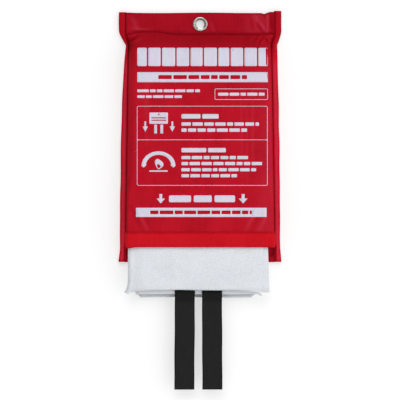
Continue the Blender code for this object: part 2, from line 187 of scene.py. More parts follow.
class Tree:
    """A material's or world's node tree, built from one method."""

    def __init__(self, nodes: bpy.types.NodeTree) -> None:
        """Empty the tree."""
        self.nodes = nodes
        nodes.nodes.clear()

    def add(self, kind: str, settings: Setting | None = None, feeds: Feeds | None = None,
            out: str | int = 0) -> Wire:
        """Add a node.

        Args:
            kind: the node's type without its ShaderNode prefix.
            settings: its properties, and "stops" for a colour ramp, which are set first.
            feeds: its input sockets by name or number, each with a value or a wire.
            out: the output that is returned.

        Returns:
            The chosen output.
        """
        node = self.nodes.nodes.new("ShaderNode" + kind)
        for name, value in (settings or {}).items():
            if name == "stops":
                self._set_stops(node, value)
            else:
                setattr(node, name, value)
        for name, value in (feeds or {}).items():
            socket = node.inputs[name]
            if isinstance(value, Wire):
                self.nodes.links.new(value.socket, socket)
            elif isinstance(value, tuple) and len(value) == 3 and socket.type == "RGBA":
                socket.default_value = (*value, 1.0)
            else:
                socket.default_value = value
        return Wire(self, node.outputs[out]) if len(node.outputs) else Wire(self, None)

    @staticmethod
    def _set_stops(node: bpy.types.Node, stops: Sequence[tuple[float, Colour]]) -> None:
        """Give a colour ramp its stops."""
        ramp = node.color_ramp
        while len(ramp.elements) < len(stops):
            ramp.elements.new(1.0)
        for element, (place, colour) in zip(ramp.elements, stops):
            element.position = place
            element.color = (*colour, 1.0)

    def mix(self, share: "Wire | float", low: "Wire | Colour", high: "Wire | Colour") -> Wire:
        """Two colours mixed by a share from 0 to 1."""
        feeds = {0: share, 6: low, 7: high}
        return self.add("Mix", {"data_type": "RGBA"}, feeds, 2)

    def cloth(self) -> tuple[Wire, Wire, Wire]:
        """The place on the flat cloth in metres: as a vector, across and along."""
        place = self.add("UVMap", {"uv_map": CLOTH_MAP})
        across = self.add("SeparateXYZ", {}, {0: place}, 0)
        along = self.add("SeparateXYZ", {}, {0: place}, 1)
        return place, across, along

    def noise(self, place: Wire, size: Sequence[float], detail: float = 2.0) -> Wire:
        """Noise from 0 to 1 whose blots have the given sizes in metres."""
        scale = tuple(1 / s for s in (*size, 1.0)[:3])
        stretched = self.add("VectorMath", {"operation": "MULTIPLY"}, {0: place, 1: scale})
        feeds = {"Vector": stretched, "Scale": 1.0, "Detail": detail, "Roughness": 0.55}
        return self.add("TexNoise", {"noise_dimensions": "3D"}, feeds)

    def shade(self) -> Wire:
        """The piece's own shade attribute: above 0 where it is darker, below 0 where paler."""
        return self.add("Attribute", {"attribute_name": SHADE}, {}, "Fac")

    def bump(self, height: Wire, depth: float, strength: float = 1.0) -> Wire:
        """A normal from a height from 0 to 1 over a depth in metres."""
        feeds = {"Height": height, "Distance": depth, "Strength": strength}
        return self.add("Bump", {}, feeds)

    def principled(self, feeds: Feeds) -> None:
        """Send a Principled shader with these feeds to the output."""
        self.surface(self.add("BsdfPrincipled", {}, feeds))

    def surface(self, shader: Wire) -> None:
        """Send a shader to the output."""
        self.add("OutputMaterial", {}, {"Surface": shader})


@dataclass(frozen=True)
class Finish:
    """A finish that makes one material."""

    name: str

    def material(self) -> bpy.types.Material:
        """The finish's material, made the first time it is asked for."""
        title = "finish_" + self.name
        found = bpy.data.materials.get(title)
        if found is None:
            found = bpy.data.materials.new(title)
            found.use_nodes = True
            self.fill(Tree(found.node_tree))
        return found

    def fill(self, tree: Tree) -> None:
        """Build the finish's nodes."""
        raise NotImplementedError


@dataclass(frozen=True)
class CoatedCloth(Finish):
    """Woven polyester with a thin coat: a close plain weave, yarn streaks and soft mottling."""

    colour: Colour = screen(183, 24, 39)
    deep: Colour = screen(120, 2, 12)
    pale: Colour = screen(192, 26, 44)
    # pale pink for painted highlights on ridges and lit flanks
    wear_and_sheen: Colour = screen(205, 70, 96)
    roughness: float = 0.66
    gloss: float = 0.012
    thread: float = 0.42 * MM
    weave_depth: float = 0.05 * MM

    def fill(self, tree: Tree) -> None:
        """Build the finish's nodes."""
        place, across, along = tree.cloth()
        mottle = tree.noise(place, (0.030, 0.045), 3.0)
        yarns = tree.noise(place, (0.9 * MM, 24 * MM), 2.0)
        wefts = tree.noise(place, (17 * MM, 0.9 * MM), 2.0)
        weave = across.waves(2 * self.thread) * along.waves(2 * self.thread) * 0.5 + 0.5
        slub = (yarns + wefts) * 0.5
        light = ((mottle - 0.5) * 0.9 + (slub - 0.5) * 0.9 + 0.3).clipped()
        body = tree.mix(light, self.colour, self.pale)
        dark = ((0.5 - mottle) * 0.7 + (0.5 - weave) * 0.10 + (0.5 - slub) * 0.6).clipped()
        body = tree.mix(dark, body, self.deep)
        # The shade attribute paints shade in the deep colour and painted highlights in the pale pink
        # colour.
        shade = tree.shade()
        body = tree.mix(shade.clipped(), body, self.deep)
        body = tree.mix((shade * -1.0).clipped(), body, self.wear_and_sheen)
        height = weave * 0.8 + slub * 0.9
        feeds = {
            "Base Color": body,
            "Roughness": (mottle - 0.5) * 0.16 + self.roughness,
            "Specular IOR Level": self.gloss,
            "Normal": tree.bump(height, self.weave_depth, 0.8),
        }
        tree.principled(feeds)


@dataclass(frozen=True)
class GlassCloth(Finish):
    """Heavy white glass cloth: round yarns over and under, slubs, and painted grey shade in the folds."""

    colour: Colour = (0.71, 0.735, 0.775)
    grey: Colour = (0.53, 0.56, 0.60)
    # grey-green for painted shade in the lower folds
    folded: Colour = (0.36, 0.37, 0.335)
    thread: float = 0.8 * MM
    weave_depth: float = 0.32 * MM

    def fill(self, tree: Tree) -> None:
        """Build the finish's nodes."""
        place, across, along = tree.cloth()
        wander = tree.noise(place, (7 * MM, 7 * MM), 2.0)
        step_across = across + (wander - 0.5) * 0.6 * MM
        step_along = along + (wander - 0.5) * 0.6 * MM
        weave = step_across.waves(2 * self.thread) * step_along.waves(2 * self.thread) * 0.5 + 0.5
        twill = (step_across + step_along).waves(4 * self.thread) * 0.5 + 0.5
        blots = tree.noise(place, (2.2 * MM, 2.0 * MM), 3.0)
        cloudy = tree.noise(place, (0.034, 0.026), 2.0)
        slant = tree.add("CombineXYZ", {}, {0: across + along, 1: across - along})
        yarns = tree.noise(slant, (2.4 * MM, 13 * MM), 2.0)
        dull = ((0.5 - weave) * 0.30 + (0.56 - blots) * 1.6 + (0.5 - cloudy) * 0.8
                + (0.5 - yarns) * 0.7 + (0.5 - twill) * 0.12 + 0.12).clipped()
        body = tree.mix(dull, self.colour, self.grey)
        # painted shade from the shade attribute
        body = tree.mix(tree.shade(), body, self.folded)
        height = weave * 0.6 + twill * 0.15 + blots * 0.5 + yarns * 0.4
        feeds = {
            "Base Color": body,
            "Roughness": blots * 0.15 + 0.78,
            "Specular IOR Level": 0.25,
            "Sheen Weight": 0.12,
            "Sheen Roughness": 0.6,
            "Normal": tree.bump(height, self.weave_depth, 0.55),
        }
        tree.principled(feeds)


@dataclass(frozen=True)
class Webbing(Finish):
    """Black polypropylene webbing: a rib each pick, cords along it and tight selvages."""

    colour: Colour = screen(24, 24, 25)
    wear_and_sheen: Colour = screen(36, 36, 37)
    rib: float = 1.5 * MM
    cord: float = 1.55 * MM
    half_width: float = 12.4 * MM

    def fill(self, tree: Tree) -> None:
        """Build the finish's nodes."""
        place, across, along = tree.cloth()
        chevron = (across / (2 * self.cord)).math("FRACT").math("SUBTRACT", 0.5).math("ABSOLUTE")
        ribs = (along + chevron * self.rib).waves(self.rib) * 0.5 + 0.5
        cords = across.waves(self.cord) * 0.5 + 0.5
        fuzz = tree.noise(place, (0.5 * MM, 1.6 * MM), 3.0)
        cloudy = tree.noise(place, (6 * MM, 20 * MM), 2.0)
        selvage = (across.math("ABSOLUTE") - (self.half_width - 1.6 * MM)) / (0.8 * MM)
        light = ((ribs - 0.5) * 0.5 + (fuzz - 0.5) * 0.9 + (cloudy - 0.5) * 0.6 + 0.35).clipped()
        body = tree.mix(light, self.colour, self.wear_and_sheen)
        body = tree.mix(selvage.clipped() * 0.6, body, screen(9, 9, 9))
        # painted shade from the tape's shade attribute
        body = tree.mix(tree.shade(), body, screen(6, 6, 6))
        height = ribs * 0.7 + cords * 0.5 + fuzz * 0.5
        feeds = {
            "Base Color": body,
            "Roughness": fuzz * 0.2 + 0.66,
            "Specular IOR Level": 0.12,
            "Normal": tree.bump(height, 0.22 * MM, 0.8),
        }
        tree.principled(feeds)


@dataclass(frozen=True)
class SewingThread(Finish):
    """Twisted polyester thread."""

    colour: Colour = screen(150, 14, 26)
    twist: float = 0.5 * MM

    def fill(self, tree: Tree) -> None:
        """Build the finish's nodes."""
        place, across, along = tree.cloth()
        turns = (along + across * 0.6).waves(self.twist) * 0.5 + 0.5
        fuzz = tree.noise(place, (0.3 * MM, 0.8 * MM), 2.0)
        body = tree.mix(turns * 0.5 + fuzz * 0.4, tuple(c * 0.45 for c in self.colour), self.colour)
        feeds = {
            "Base Color": body,
            "Roughness": fuzz * 0.2 + 0.6,
            "Specular IOR Level": 0.05,
            "Normal": tree.bump(turns, 0.08 * MM, 0.8),
        }
        tree.principled(feeds)


@dataclass(frozen=True)
class NickelPlate(Finish):
    """Bright nickel on steel: fine turning marks, small scratches, dull blots and painted dark shade and
    reflection in the hollows.
    """

    colour: Colour = (0.60, 0.585, 0.56)
    # near black for dull blots and for the painted dark shade and reflection in the hollows
    dull: Colour = (0.10, 0.092, 0.08)

    def fill(self, tree: Tree) -> None:
        """Build the finish's nodes."""
        place = tree.add("TexCoord", {}, {}, "Object")
        bloom = tree.noise(place, mm(2.2, 2.2, 2.2), 3.0)
        fine = tree.noise(place, mm(0.25, 0.25, 0.25), 2.0)
        turned = tree.add("VectorMath", {"operation": "LENGTH"}, {0: place}, "Value")
        rings = turned.waves(0.35 * MM) * 0.5 + 0.5
        # The shade attribute paints dark shade and reflection into the valley and the roll's inner side.
        share = ((bloom - 0.45) * 1.1 + tree.shade() * 0.8).clipped()
        feeds = {
            "Base Color": tree.mix(share, self.colour, self.dull),
            "Metallic": 1.0,
            "Roughness": bloom * 0.14 + fine * 0.08 + 0.08,
            "Normal": tree.bump(fine * 0.6 + rings * 0.4, 0.02 * MM, 0.6),
        }
        tree.principled(feeds)


@dataclass(frozen=True)
class PrintInk(Finish):
    """White screen ink on cloth, a little thin where the yarns stand proud."""

    colour: Colour = (0.62, 0.60, 0.71)
    thin: Colour = (0.55, 0.33, 0.43)
    thread: float = 0.42 * MM

    def fill(self, tree: Tree) -> None:
        """Build the finish's nodes."""
        place, across, along = tree.cloth()
        weave = across.waves(2 * self.thread) * along.waves(2 * self.thread) * 0.5 + 0.5
        yarns = tree.noise(place, (0.8 * MM, 22 * MM), 2.0)
        blots = tree.noise(place, (3 * MM, 3 * MM), 3.0)
        wear_and_sheen = ((yarns - 0.52) * 1.7 + (blots - 0.5) * 0.5 + (weave - 0.5) * 0.12).clipped()
        feeds = {
            "Base Color": tree.mix(wear_and_sheen, self.colour, self.thin),
            "Roughness": blots * 0.2 + 0.5,
            "Specular IOR Level": 0.2,
            "Normal": tree.bump(weave * 0.6 + yarns * 0.8, 0.05 * MM, 0.8),
        }
        tree.principled(feeds)


@dataclass(frozen=True)
class StudioPaint(Finish):
    """Matt white for the wall and floor, seen only from its painted side."""

    white: float = 0.50
    glow: float = 0.49

    def fill(self, tree: Tree) -> None:
        """Build the finish's nodes."""
        paint = tree.add("BsdfDiffuse", {}, {"Color": (self.white, self.white, self.white)})
        glow = tree.add("Emission", {}, {"Color": (1.0, 1.0, 1.0), "Strength": self.glow})
        matt = tree.add("AddShader", {}, {0: paint, 1: glow})
        clear = tree.add("BsdfTransparent")
        behind = tree.add("NewGeometry", {}, {}, "Backfacing")
        tree.surface(tree.add("MixShader", {}, {0: behind, 1: matt, 2: clear}))


# ---- Cloth meshes ----------------------------------------------------------------------

@dataclass
class Sheet:
    """A piece of cloth given by a grid of points down the middle of its thickness.

    Rows run along the cloth and columns across it.  The outer face is the one that the cross
    product of the column and row directions points out of.
    """

    points: np.ndarray
    thickness: float | np.ndarray
    shade: np.ndarray | None = None
    keep: np.ndarray | None = None

    def normals(self) -> np.ndarray:
        """Unit normals of the grid."""
        across = np.gradient(self.points, axis=1)
        along = np.gradient(self.points, axis=0)
        normal = np.cross(across, along)
        return normal / np.maximum(np.linalg.norm(normal, axis=2, keepdims=True), 1e-12)

    def cloth_map(self) -> np.ndarray:
        """Where each point lies on the flat cloth, in metres, from the middle of its row."""
        rows, columns, _ = self.points.shape
        run = np.linalg.norm(np.diff(self.points, axis=1), axis=2).cumsum(axis=1)
        across = np.concatenate([np.zeros((rows, 1)), run], axis=1)
        across -= across[:, columns // 2][:, None]
        fall = np.linalg.norm(np.diff(self.points, axis=0), axis=2).mean(axis=1).cumsum()
        along = np.concatenate([[0.0], fall])[:, None] * np.ones((1, columns))
        return np.stack([across, along], axis=2)

    def build(self, name: str) -> bpy.types.Object:
        """Close the sheet into a solid.

        Args:
            name: the new object's name.

        Returns:
            The object, with its cloth map and shade.
        """
        rows, columns, _ = self.points.shape
        half = np.broadcast_to(np.asarray(self.thickness, float), (rows, columns))[..., None] / 2
        normal = self.normals()
        verts = np.concatenate([self.points + normal * half, self.points - normal * half])
        verts = verts.reshape(-1, 3)
        index = np.arange(rows * columns).reshape(rows, columns)
        keep = np.ones((rows - 1, columns - 1), bool) if self.keep is None else self.keep
        a, b = index[:-1, :-1][keep], index[:-1, 1:][keep]
        c, d = index[1:, 1:][keep], index[1:, :-1][keep]
        outer = np.stack([a, b, c, d], axis=1)
        inner = outer[:, ::-1] + rows * columns
        walls = self._walls(index, keep) + np.array([[0, 0, rows * columns, rows * columns]])
        faces = np.concatenate([outer, inner, walls])
        smooth = np.concatenate([np.ones(len(outer) * 2, bool), np.zeros(len(walls), bool)])
        flat_map = np.concatenate([self.cloth_map().reshape(-1, 2)] * 2)
        shade = np.zeros((rows, columns)) if self.shade is None else self.shade
        return make_mesh(name, verts, faces, flat_map, np.tile(shade.ravel(), 2), smooth)

    @staticmethod
    def _walls(index: np.ndarray, keep: np.ndarray) -> np.ndarray:
        """Corner numbers of the rim faces round the kept cells."""
        padded = np.pad(keep, 1)
        found = []
        sides = [
            (padded[:-2, 1:-1], index[:-1, :-1], index[:-1, 1:]),
            (padded[1:-1, 2:], index[:-1, 1:], index[1:, 1:]),
            (padded[2:, 1:-1], index[1:, 1:], index[1:, :-1]),
            (padded[1:-1, :-2], index[1:, :-1], index[:-1, :-1]),
        ]
        for neighbour, start, end in sides:
            bare = keep & ~neighbour
            found.append(np.stack([end[bare], start[bare], start[bare], end[bare]], axis=1))
        return np.concatenate(found)


def make_mesh(name: str, verts: np.ndarray, faces: np.ndarray | list, flat_map: np.ndarray,
              shade: np.ndarray, smooth: np.ndarray | bool = True) -> bpy.types.Object:
    """Make an object from arrays, leaving out points that no face uses.

    Args:
        name: the object's name.
        verts: the points.
        faces: the corners of each face.
        flat_map: each point's place on the flat cloth, in metres.
        shade: each point's painted shade, from -1 for a painted highlight to 1 for the deepest painted
            shade.
        smooth: whether each face is smooth.

    Returns:
        The object, linked to the scene.
    """
    faces = [list(map(int, face)) for face in faces]
    used = np.unique(np.concatenate([np.asarray(face) for face in faces]))
    place = np.zeros(len(verts), int)
    place[used] = np.arange(len(used))
    faces = [[int(place[corner]) for corner in face] for face in faces]
    mesh = bpy.data.meshes.new(name)
    mesh.from_pydata([tuple(v) for v in verts[used].tolist()], [], faces)
    mesh.polygons.foreach_set("use_smooth", np.broadcast_to(smooth, len(faces)).astype(bool))
    layer = mesh.uv_layers.new(name=CLOTH_MAP)
    corners = np.zeros(len(mesh.loops), np.int32)
    mesh.loops.foreach_get("vertex_index", corners)
    layer.uv.foreach_set("vector", flat_map[used][corners].astype(np.float32).ravel())
    attribute = mesh.attributes.new(SHADE, "FLOAT", "POINT")
    attribute.data.foreach_set("value", np.clip(shade[used], -1, 1).astype(np.float32))
    mesh.validate()
    mesh.update()
    made = bpy.data.objects.new(name, mesh)
    bpy.context.scene.collection.objects.link(made)
    return made


def face_outwards(made: bpy.types.Object) -> None:
    """Turn every face of a closed mesh outwards."""
    work = bmesh.new()
    work.from_mesh(made.data)
    bmesh.ops.recalc_face_normals(work, faces=work.faces)
    work.to_mesh(made.data)
    work.free()


def fit(piece: bpy.types.Object, body: str, finish: Finish, slot: Slot,
        *nodes: str) -> bpy.types.Object:
    """Dress a piece, let it ride on its body and hide the CAD nodes that it replaces.

    Args:
        piece: the new piece, in place.
        body: the CAD body it moves with.
        finish: its finish.
        slot: the record's material slot; not used.
        nodes: the CAD nodes that it replaces.

    Returns:
        The piece.
    """
    piece.data.materials.clear()
    piece.data.materials.append(finish.material())
    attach(piece, body)
    if nodes:
        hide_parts(*nodes)
    log.info("%s rides on %s", piece.name, body)
    return piece


# ---- Relief ----------------------------------------------------------------------------

@dataclass(frozen=True)
class Crease:
    """A ridge or valley along a straight line on the front; a valley has a height below 0."""

    STRONG: ClassVar[float] = 1.35

    start: Spot
    end: Spot
    width: float
    height: float

    def relief(self, x: np.ndarray, z: np.ndarray) -> np.ndarray:
        """How far it lifts the cloth at (x, z)."""
        run = np.array(self.end) - np.array(self.start)
        length = float(np.hypot(*run))
        run = run / length
        along = (x - self.start[0]) * run[0] + (z - self.start[1]) * run[1]
        off = (x - self.start[0]) * run[1] - (z - self.start[1]) * run[0]
        beyond = np.maximum(np.maximum(-along, along - length), 0)
        inside = np.clip(along / length, 0, 1)
        taper = 0.45 + 0.55 * np.sin(np.pi * inside)
        return self.STRONG * self.height * taper * np.exp(-(off**2 + beyond**2) / self.width**2)


@dataclass(frozen=True)
class Ripples:
    """Gentle seeded waves in cloth."""

    seed: int
    height: float
    across: float
    along: float

    def relief(self, x: np.ndarray, z: np.ndarray) -> np.ndarray:
        """How far they lift the cloth at (x, z)."""
        draw = np.random.default_rng(self.seed)
        total = np.zeros(np.broadcast(x, z).shape)
        count = 9
        for _ in range(count):
            push_x, push_z = draw.uniform(0.45, 1.4, 2) * draw.choice((-1, 1), 2)
            phase = draw.uniform(0, 2 * np.pi)
            wave = push_x * x / self.across + push_z * z / self.along
            total = total + np.sin(2 * np.pi * wave + phase)
        return total * self.height / math.sqrt(count)


Relief = Crease | Ripples


def creases(*rows: tuple[float, float, float, float, float, float]) -> list[Crease]:
    """Creases, each given in millimetres as its start's x and z, its end's x and z, width and height."""
    return [Crease(mm(*row[:2]), mm(*row[2:4]), row[4] * MM, row[5] * MM) for row in rows]


def lifted(features: Iterable[Relief], x: np.ndarray, z: np.ndarray) -> np.ndarray:
    """All the features' relief at (x, z)."""
    return sum((feature.relief(x, z) for feature in features), np.zeros(np.broadcast(x, z).shape))


def painted_crease_shade(features: Iterable[Relief], x: np.ndarray, z: np.ndarray) -> np.ndarray:
    """Painted shade from the creases: valleys darker with painted shade, ridges paler with a painted
    highlight.
    """
    creases = [feature for feature in features if isinstance(feature, Crease)]
    return np.clip(lifted(creases, x, z) * -PAINTED_SHADE_PER_METRE, -0.55, 0.75)


# ---- The pouch's form ------------------------------------------------------------------

@dataclass(frozen=True)
class Levels:
    """Heights and layer depths read from the CAD frame."""

    top: float
    header_foot: float
    mouth: float
    bottom: float
    pack_top: float
    pack_bottom: float
    crease: float
    rear_fold: float
    back: float
    front: float
    front_fold: float

    @classmethod
    def read(cls) -> "Levels":
        """The levels of the frame as packed."""
        header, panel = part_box("header_band"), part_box("front_panel")
        back, pack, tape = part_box("back_panel"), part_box("blanket"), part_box("left_pull_tape")
        sheet = back[1].y - back[0].y
        return cls(
            top=header[1].z,
            header_foot=header[0].z,
            mouth=panel[0].z + 1.0 * MM,
            bottom=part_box("left_binding")[0].z,
            pack_top=pack[1].z,
            pack_bottom=pack[0].z,
            crease=tape[1].z,
            rear_fold=header[1].y - sheet / 2,
            back=(back[0].y + back[1].y) / 2,
            front=panel[1].y - sheet / 2,
            front_fold=header[0].y + sheet / 2,
        )


@dataclass(frozen=True)
class SideLine:
    """One side of the pouch from the front: its outer edge and the groove beside the swell."""

    waist: float
    foot: float
    relax: float
    flare: float
    groove_waist: float
    groove_foot: float
    corner: float
    corner_foot: float
    bottom: float
    header: float = 100.6 * MM
    header_groove: float = 91.7 * MM
    neck: float = -9.0 * MM
    waist_level: float = -26.0 * MM
    flare_height: float = 26.0 * MM

    def outer(self, z: np.ndarray | float) -> np.ndarray:
        """Half the pouch's width on this side at a height."""
        z = np.asarray(z, float)
        share = np.clip((self.neck - z) / (self.neck - self.waist_level), 0, 1)
        neck = self.header + (self.waist - self.header) * share**1.3
        below = np.maximum(self.waist_level - z, 0)
        body = self.foot - (self.foot - self.waist) * np.exp(-below / self.relax)
        body = body + self.flare * ease(z, self.bottom + self.flare_height, self.bottom) ** 2
        return np.where(z > self.waist_level, neck, body)

    def groove(self, z: np.ndarray | float) -> np.ndarray:
        """How far out the groove between the binding and the swell lies."""
        z = np.asarray(z, float)
        down = np.clip((self.waist_level - z) / (self.waist_level - self.bottom), 0, 1)
        body = self.groove_waist + (self.groove_foot - self.groove_waist) * down**0.8
        share = ease(z, -12.5 * MM, self.waist_level)
        return self.header_groove * (1 - share) + body * share

    def corner_at(self, z: np.ndarray | float) -> np.ndarray:
        """The width of the swell's rounded corner at a height."""
        share = ease(z, self.bottom + 135 * MM, self.bottom + 62 * MM)
        return self.corner + (self.corner_foot - self.corner) * share


class PouchForm:
    """The front panel's swollen form, which the panel, mouth band, print and stitches share."""

    DEPTH = 22.6 * MM          # how far the panel's middle stands out from its seams
    CROWN = 1.2 * MM           # extra swell at the very middle
    FLANK = 2.6 * MM           # height of the tucked-in flank beside the binding
    TUCK = 1.3 * MM            # how far that flank tucks in
    SHOULDER = 27 * MM         # height over which the middle swells
    CORNER_SHOULDER = 7 * MM   # extra height over which the top corners swell
    HIDDEN = 3.0 * MM          # cloth that runs on under the bindings

    def __init__(self, levels: Levels) -> None:
        """Set up the two side lines and the creases."""
        self.levels = levels
        self.left = SideLine(*mm(92.3, 99.9, 80, 1.9, 88.6, 92.3, 10, 2.8), levels.bottom)
        self.right = SideLine(*mm(95.1, 99.6, 110, 1.0, 88.0, 92.6, 7, 2.8), levels.bottom)
        self.features: list[Relief] = [
            Ripples(11, 0.55 * MM, 0.085, 0.150),
            Ripples(12, 0.14 * MM, 0.021, 0.090),
            Ripples(13, 0.05 * MM, 0.009, 0.035),
            *creases(
                # left shoulder: a lifted fold over the seam and the pinch under it
                (-91, -14.6, -79, -12.5, 1.6, 0.9),
                (-87, -22.0, -78, -15.6, 1.3, -0.9),
                (-84, -25.5, -74, -18.5, 1.8, 0.5),
                (-86.2, -26, -87.5, -36, 1.3, -0.8),
                (-82, -30, -76, -42, 2.6, 0.35),
                # right shoulder: a lifted corner with small rings beside it
                (84, -15.2, 92, -14.4, 1.4, 0.9),
                (79.5, -17, 85.5, -24, 1.4, -0.70),
                (83, -16, 87, -23.5, 1.3, 0.65),
                (75.5, -27, 81.5, -15.5, 1.3, 0.55),
                (72, -26, 78.5, -14.8, 1.1, -0.50),
                (69, -25, 76, -14.6, 1.2, 0.40),
                (66, -22.5, 72, -14.6, 1.2, -0.35),
                (62, -21, 69, -14.6, 1.4, 0.28),
                (56, -20, 64, -14.8, 1.6, -0.20),
                # long streaks where the folded blanket's edge lies behind
                (50, -82, 52, -190, 1.9, 0.16),
                (57, -90, 58, -194, 1.6, 0.14),
                (64, -84, 65, -176, 2.2, 0.20),
                (-66, -60, -67, -150, 2.6, 0.16),
                # soft slanting creases above the mouth band
                (-86, -226, -72, -256, 2.6, -0.45),
                (-79, -228, -65, -255, 2.4, 0.35),
                (-70, -236, -60, -256, 2.0, -0.25),
                (56, -256, 70, -228, 2.4, 0.35),
                (63, -257, 76, -230, 2.2, -0.35),
                (72, -257, 82, -236, 2.4, 0.30),
            ),
        ]

    def line(self, side: int) -> SideLine:
        """The side line on a side."""
        return self.left if side < 0 else self.right

    def seam(self, x: np.ndarray | float) -> np.ndarray:
        """The height of the header's free edge at x: it rides up over the left shoulder."""
        x = np.asarray(x, float)
        lift = ease(x, -0.091, -0.076) * ease(x, -0.030, -0.056)
        return self.levels.header_foot - 0.5 * MM + 2.9 * MM * lift + 0.25 * MM * np.sin(x / 0.011)

    def rise(self, x: np.ndarray, z: np.ndarray) -> np.ndarray:
        """The share of its full depth that the swell has at (x, z)."""
        reach = self.SHOULDER + self.CORNER_SHOULDER * (np.abs(x) / 0.09) ** 4
        share = np.clip((self.seam(x) - z) / reach, 0, 1)
        return np.sin(np.pi / 2 * share)

    def depth(self, x: np.ndarray, z: np.ndarray) -> np.ndarray:
        """How far the panel's middle surface stands out from its seams at (x, z)."""
        x, z = np.broadcast_arrays(np.asarray(x, float), np.asarray(z, float))
        left = x < 0
        groove = np.where(left, self.left.groove(z), self.right.groove(z)) - 0.3 * MM
        corner = np.where(left, self.left.corner_at(z), self.right.corner_at(z))
        flat = groove - corner
        round_share = np.clip((np.abs(x) - flat) / corner, 0, 1)
        height = np.sqrt(1 - round_share**2)
        crown = self.CROWN * np.cos(np.pi / 2 * np.clip(np.abs(x) / flat, 0, 1))
        rise = self.rise(x, z)
        relief = lifted(self.features, x, z) * height * np.clip(rise * 3, 0, 1)
        full = self.FLANK + (self.DEPTH - self.FLANK) * height + crown
        return rise * full + relief

    def front_y(self, x: np.ndarray, z: np.ndarray) -> np.ndarray:
        """The y of the panel's middle surface at (x, z)."""
        return self.levels.front - self.depth(x, z)

    def half_section(self, side: int, z: np.ndarray) -> np.ndarray:
        """The panel's section on one side, from the middle outwards.

        Args:
            side: -1 for left or 1 for right.
            z: the heights, one for each row.

        Returns:
            Rows of points.
        """
        line = self.line(side)
        z = z[:, None]
        groove = line.groove(z) - 0.3 * MM
        corner = line.corner_at(z)
        flat = (groove - corner) * np.linspace(0, 1, 68)[None, :]
        angle = np.radians(np.linspace(90, 0, 12)[1:])[None, :]
        bend = groove - corner + corner * np.cos(angle)
        x = side * np.concatenate([flat, bend], axis=1)
        height = np.broadcast_to(z, x.shape)
        front = np.stack([x, self.front_y(x, height), height], axis=2)
        turn = np.radians(np.linspace(0, 90, 6)[1:])[None, :]
        edge_x = side * groove
        rise = np.maximum(self.rise(edge_x, z), 0.04)
        under_x = groove - self.TUCK * rise * (1 - np.cos(turn))
        under_depth = self.FLANK * rise * (1 - np.sin(turn))
        hidden = np.linspace(0, 1, 4)[None, 1:]
        reach = np.minimum(groove + self.HIDDEN, line.outer(z) - 1.2 * MM)
        start = groove - self.TUCK * rise
        strip_x = start + (reach - start) * hidden
        tail_x = side * np.concatenate([under_x, strip_x], axis=1)
        tail_depth = np.concatenate([under_depth, np.zeros_like(strip_x)], axis=1)
        tail_z = np.broadcast_to(z, tail_x.shape)
        tail = np.stack([tail_x, self.levels.front - tail_depth, tail_z], axis=2)
        return np.concatenate([front, tail], axis=1)

    def section(self, z: np.ndarray) -> np.ndarray:
        """Rows of points across the whole panel from left to right."""
        left = self.half_section(-1, z)[:, ::-1]
        right = self.half_section(1, z)[:, 1:]
        return np.concatenate([left, right], axis=1)


# ---- Pieces of the pouch ---------------------------------------------------------------

PANEL_CLOTH = CoatedCloth("panel_cloth", screen(172, 17, 33))
HEADER_CLOTH = CoatedCloth("header_cloth", screen(158, 13, 28), screen(98, 0, 8), screen(168, 20, 38))
BAND_CLOTH = CoatedCloth("band_cloth", screen(193, 17, 30), screen(140, 2, 10), screen(205, 26, 40))
BINDING_CLOTH = CoatedCloth(
    "binding_cloth", screen(196, 16, 36), screen(124, 1, 10), screen(206, 30, 52), gloss=0.02
)
RED_THREAD = SewingThread("red_thread", screen(134, 8, 20))
GLASS_CLOTH = GlassCloth("glass_cloth")
BLACK_WEBBING = Webbing("black_webbing")
BLACK_THREAD = SewingThread("black_thread", screen(30, 30, 32))
NICKEL = NickelPlate("nickel_plate")
WHITE_INK = PrintInk("white_ink")
FABRIC = 0.6 * MM


@dataclass
class FrontPanel:
    """The swollen front panel, one cloth from under the header to the mouth band."""

    form: PouchForm
    allowance: float = 5.6 * MM

    def build(self) -> bpy.types.Object:
        levels = self.form.levels
        z = steps(
            (levels.header_foot + self.allowance, 1.6 * MM), (-11 * MM, 0.8 * MM),
            (-44 * MM, 1.8 * MM), (-220 * MM, 1.5 * MM), (levels.mouth, 0),
        )
        points = self.form.section(z)
        shade = self.shade(points)
        panel = Sheet(points, FABRIC, shade).build("front_panel_cloth")
        fit(panel, "pouch", PANEL_CLOTH, Slot.PANEL, "front_panel")
        return panel

    def shade(self, points: np.ndarray) -> np.ndarray:
        """Painted shade in grooves, under the header, over the upper swell, at the waist and in creases;
        painted light on the right.
        """
        x, z = points[..., 0], points[..., 2]
        left = x < 0
        groove = np.where(left, self.form.left.groove(z), self.form.right.groove(z))
        # Painted shade in the grooves beside the bindings, along the header's seam, over the upper swell
        # and at the pinched waist.
        beside = ease(np.abs(x), groove - 3 * MM, groove + 0.5 * MM) * 0.6
        under = bell(z, self.form.seam(x) - 0.3 * MM, 1.1 * MM) * 0.3 + ease(z, -0.064, -0.016) * 0.38
        pinch = bell(z, -24 * MM, 9 * MM) * ease(np.abs(x), 0.080, 0.090) * 0.30
        # Painted light: the right flank paler, as if lit from the right.
        side = ease(x, 0.060, 0.084) * -0.08
        return np.clip(beside + under + pinch + side + painted_crease_shade(self.form.features, x, z), -1, 1)


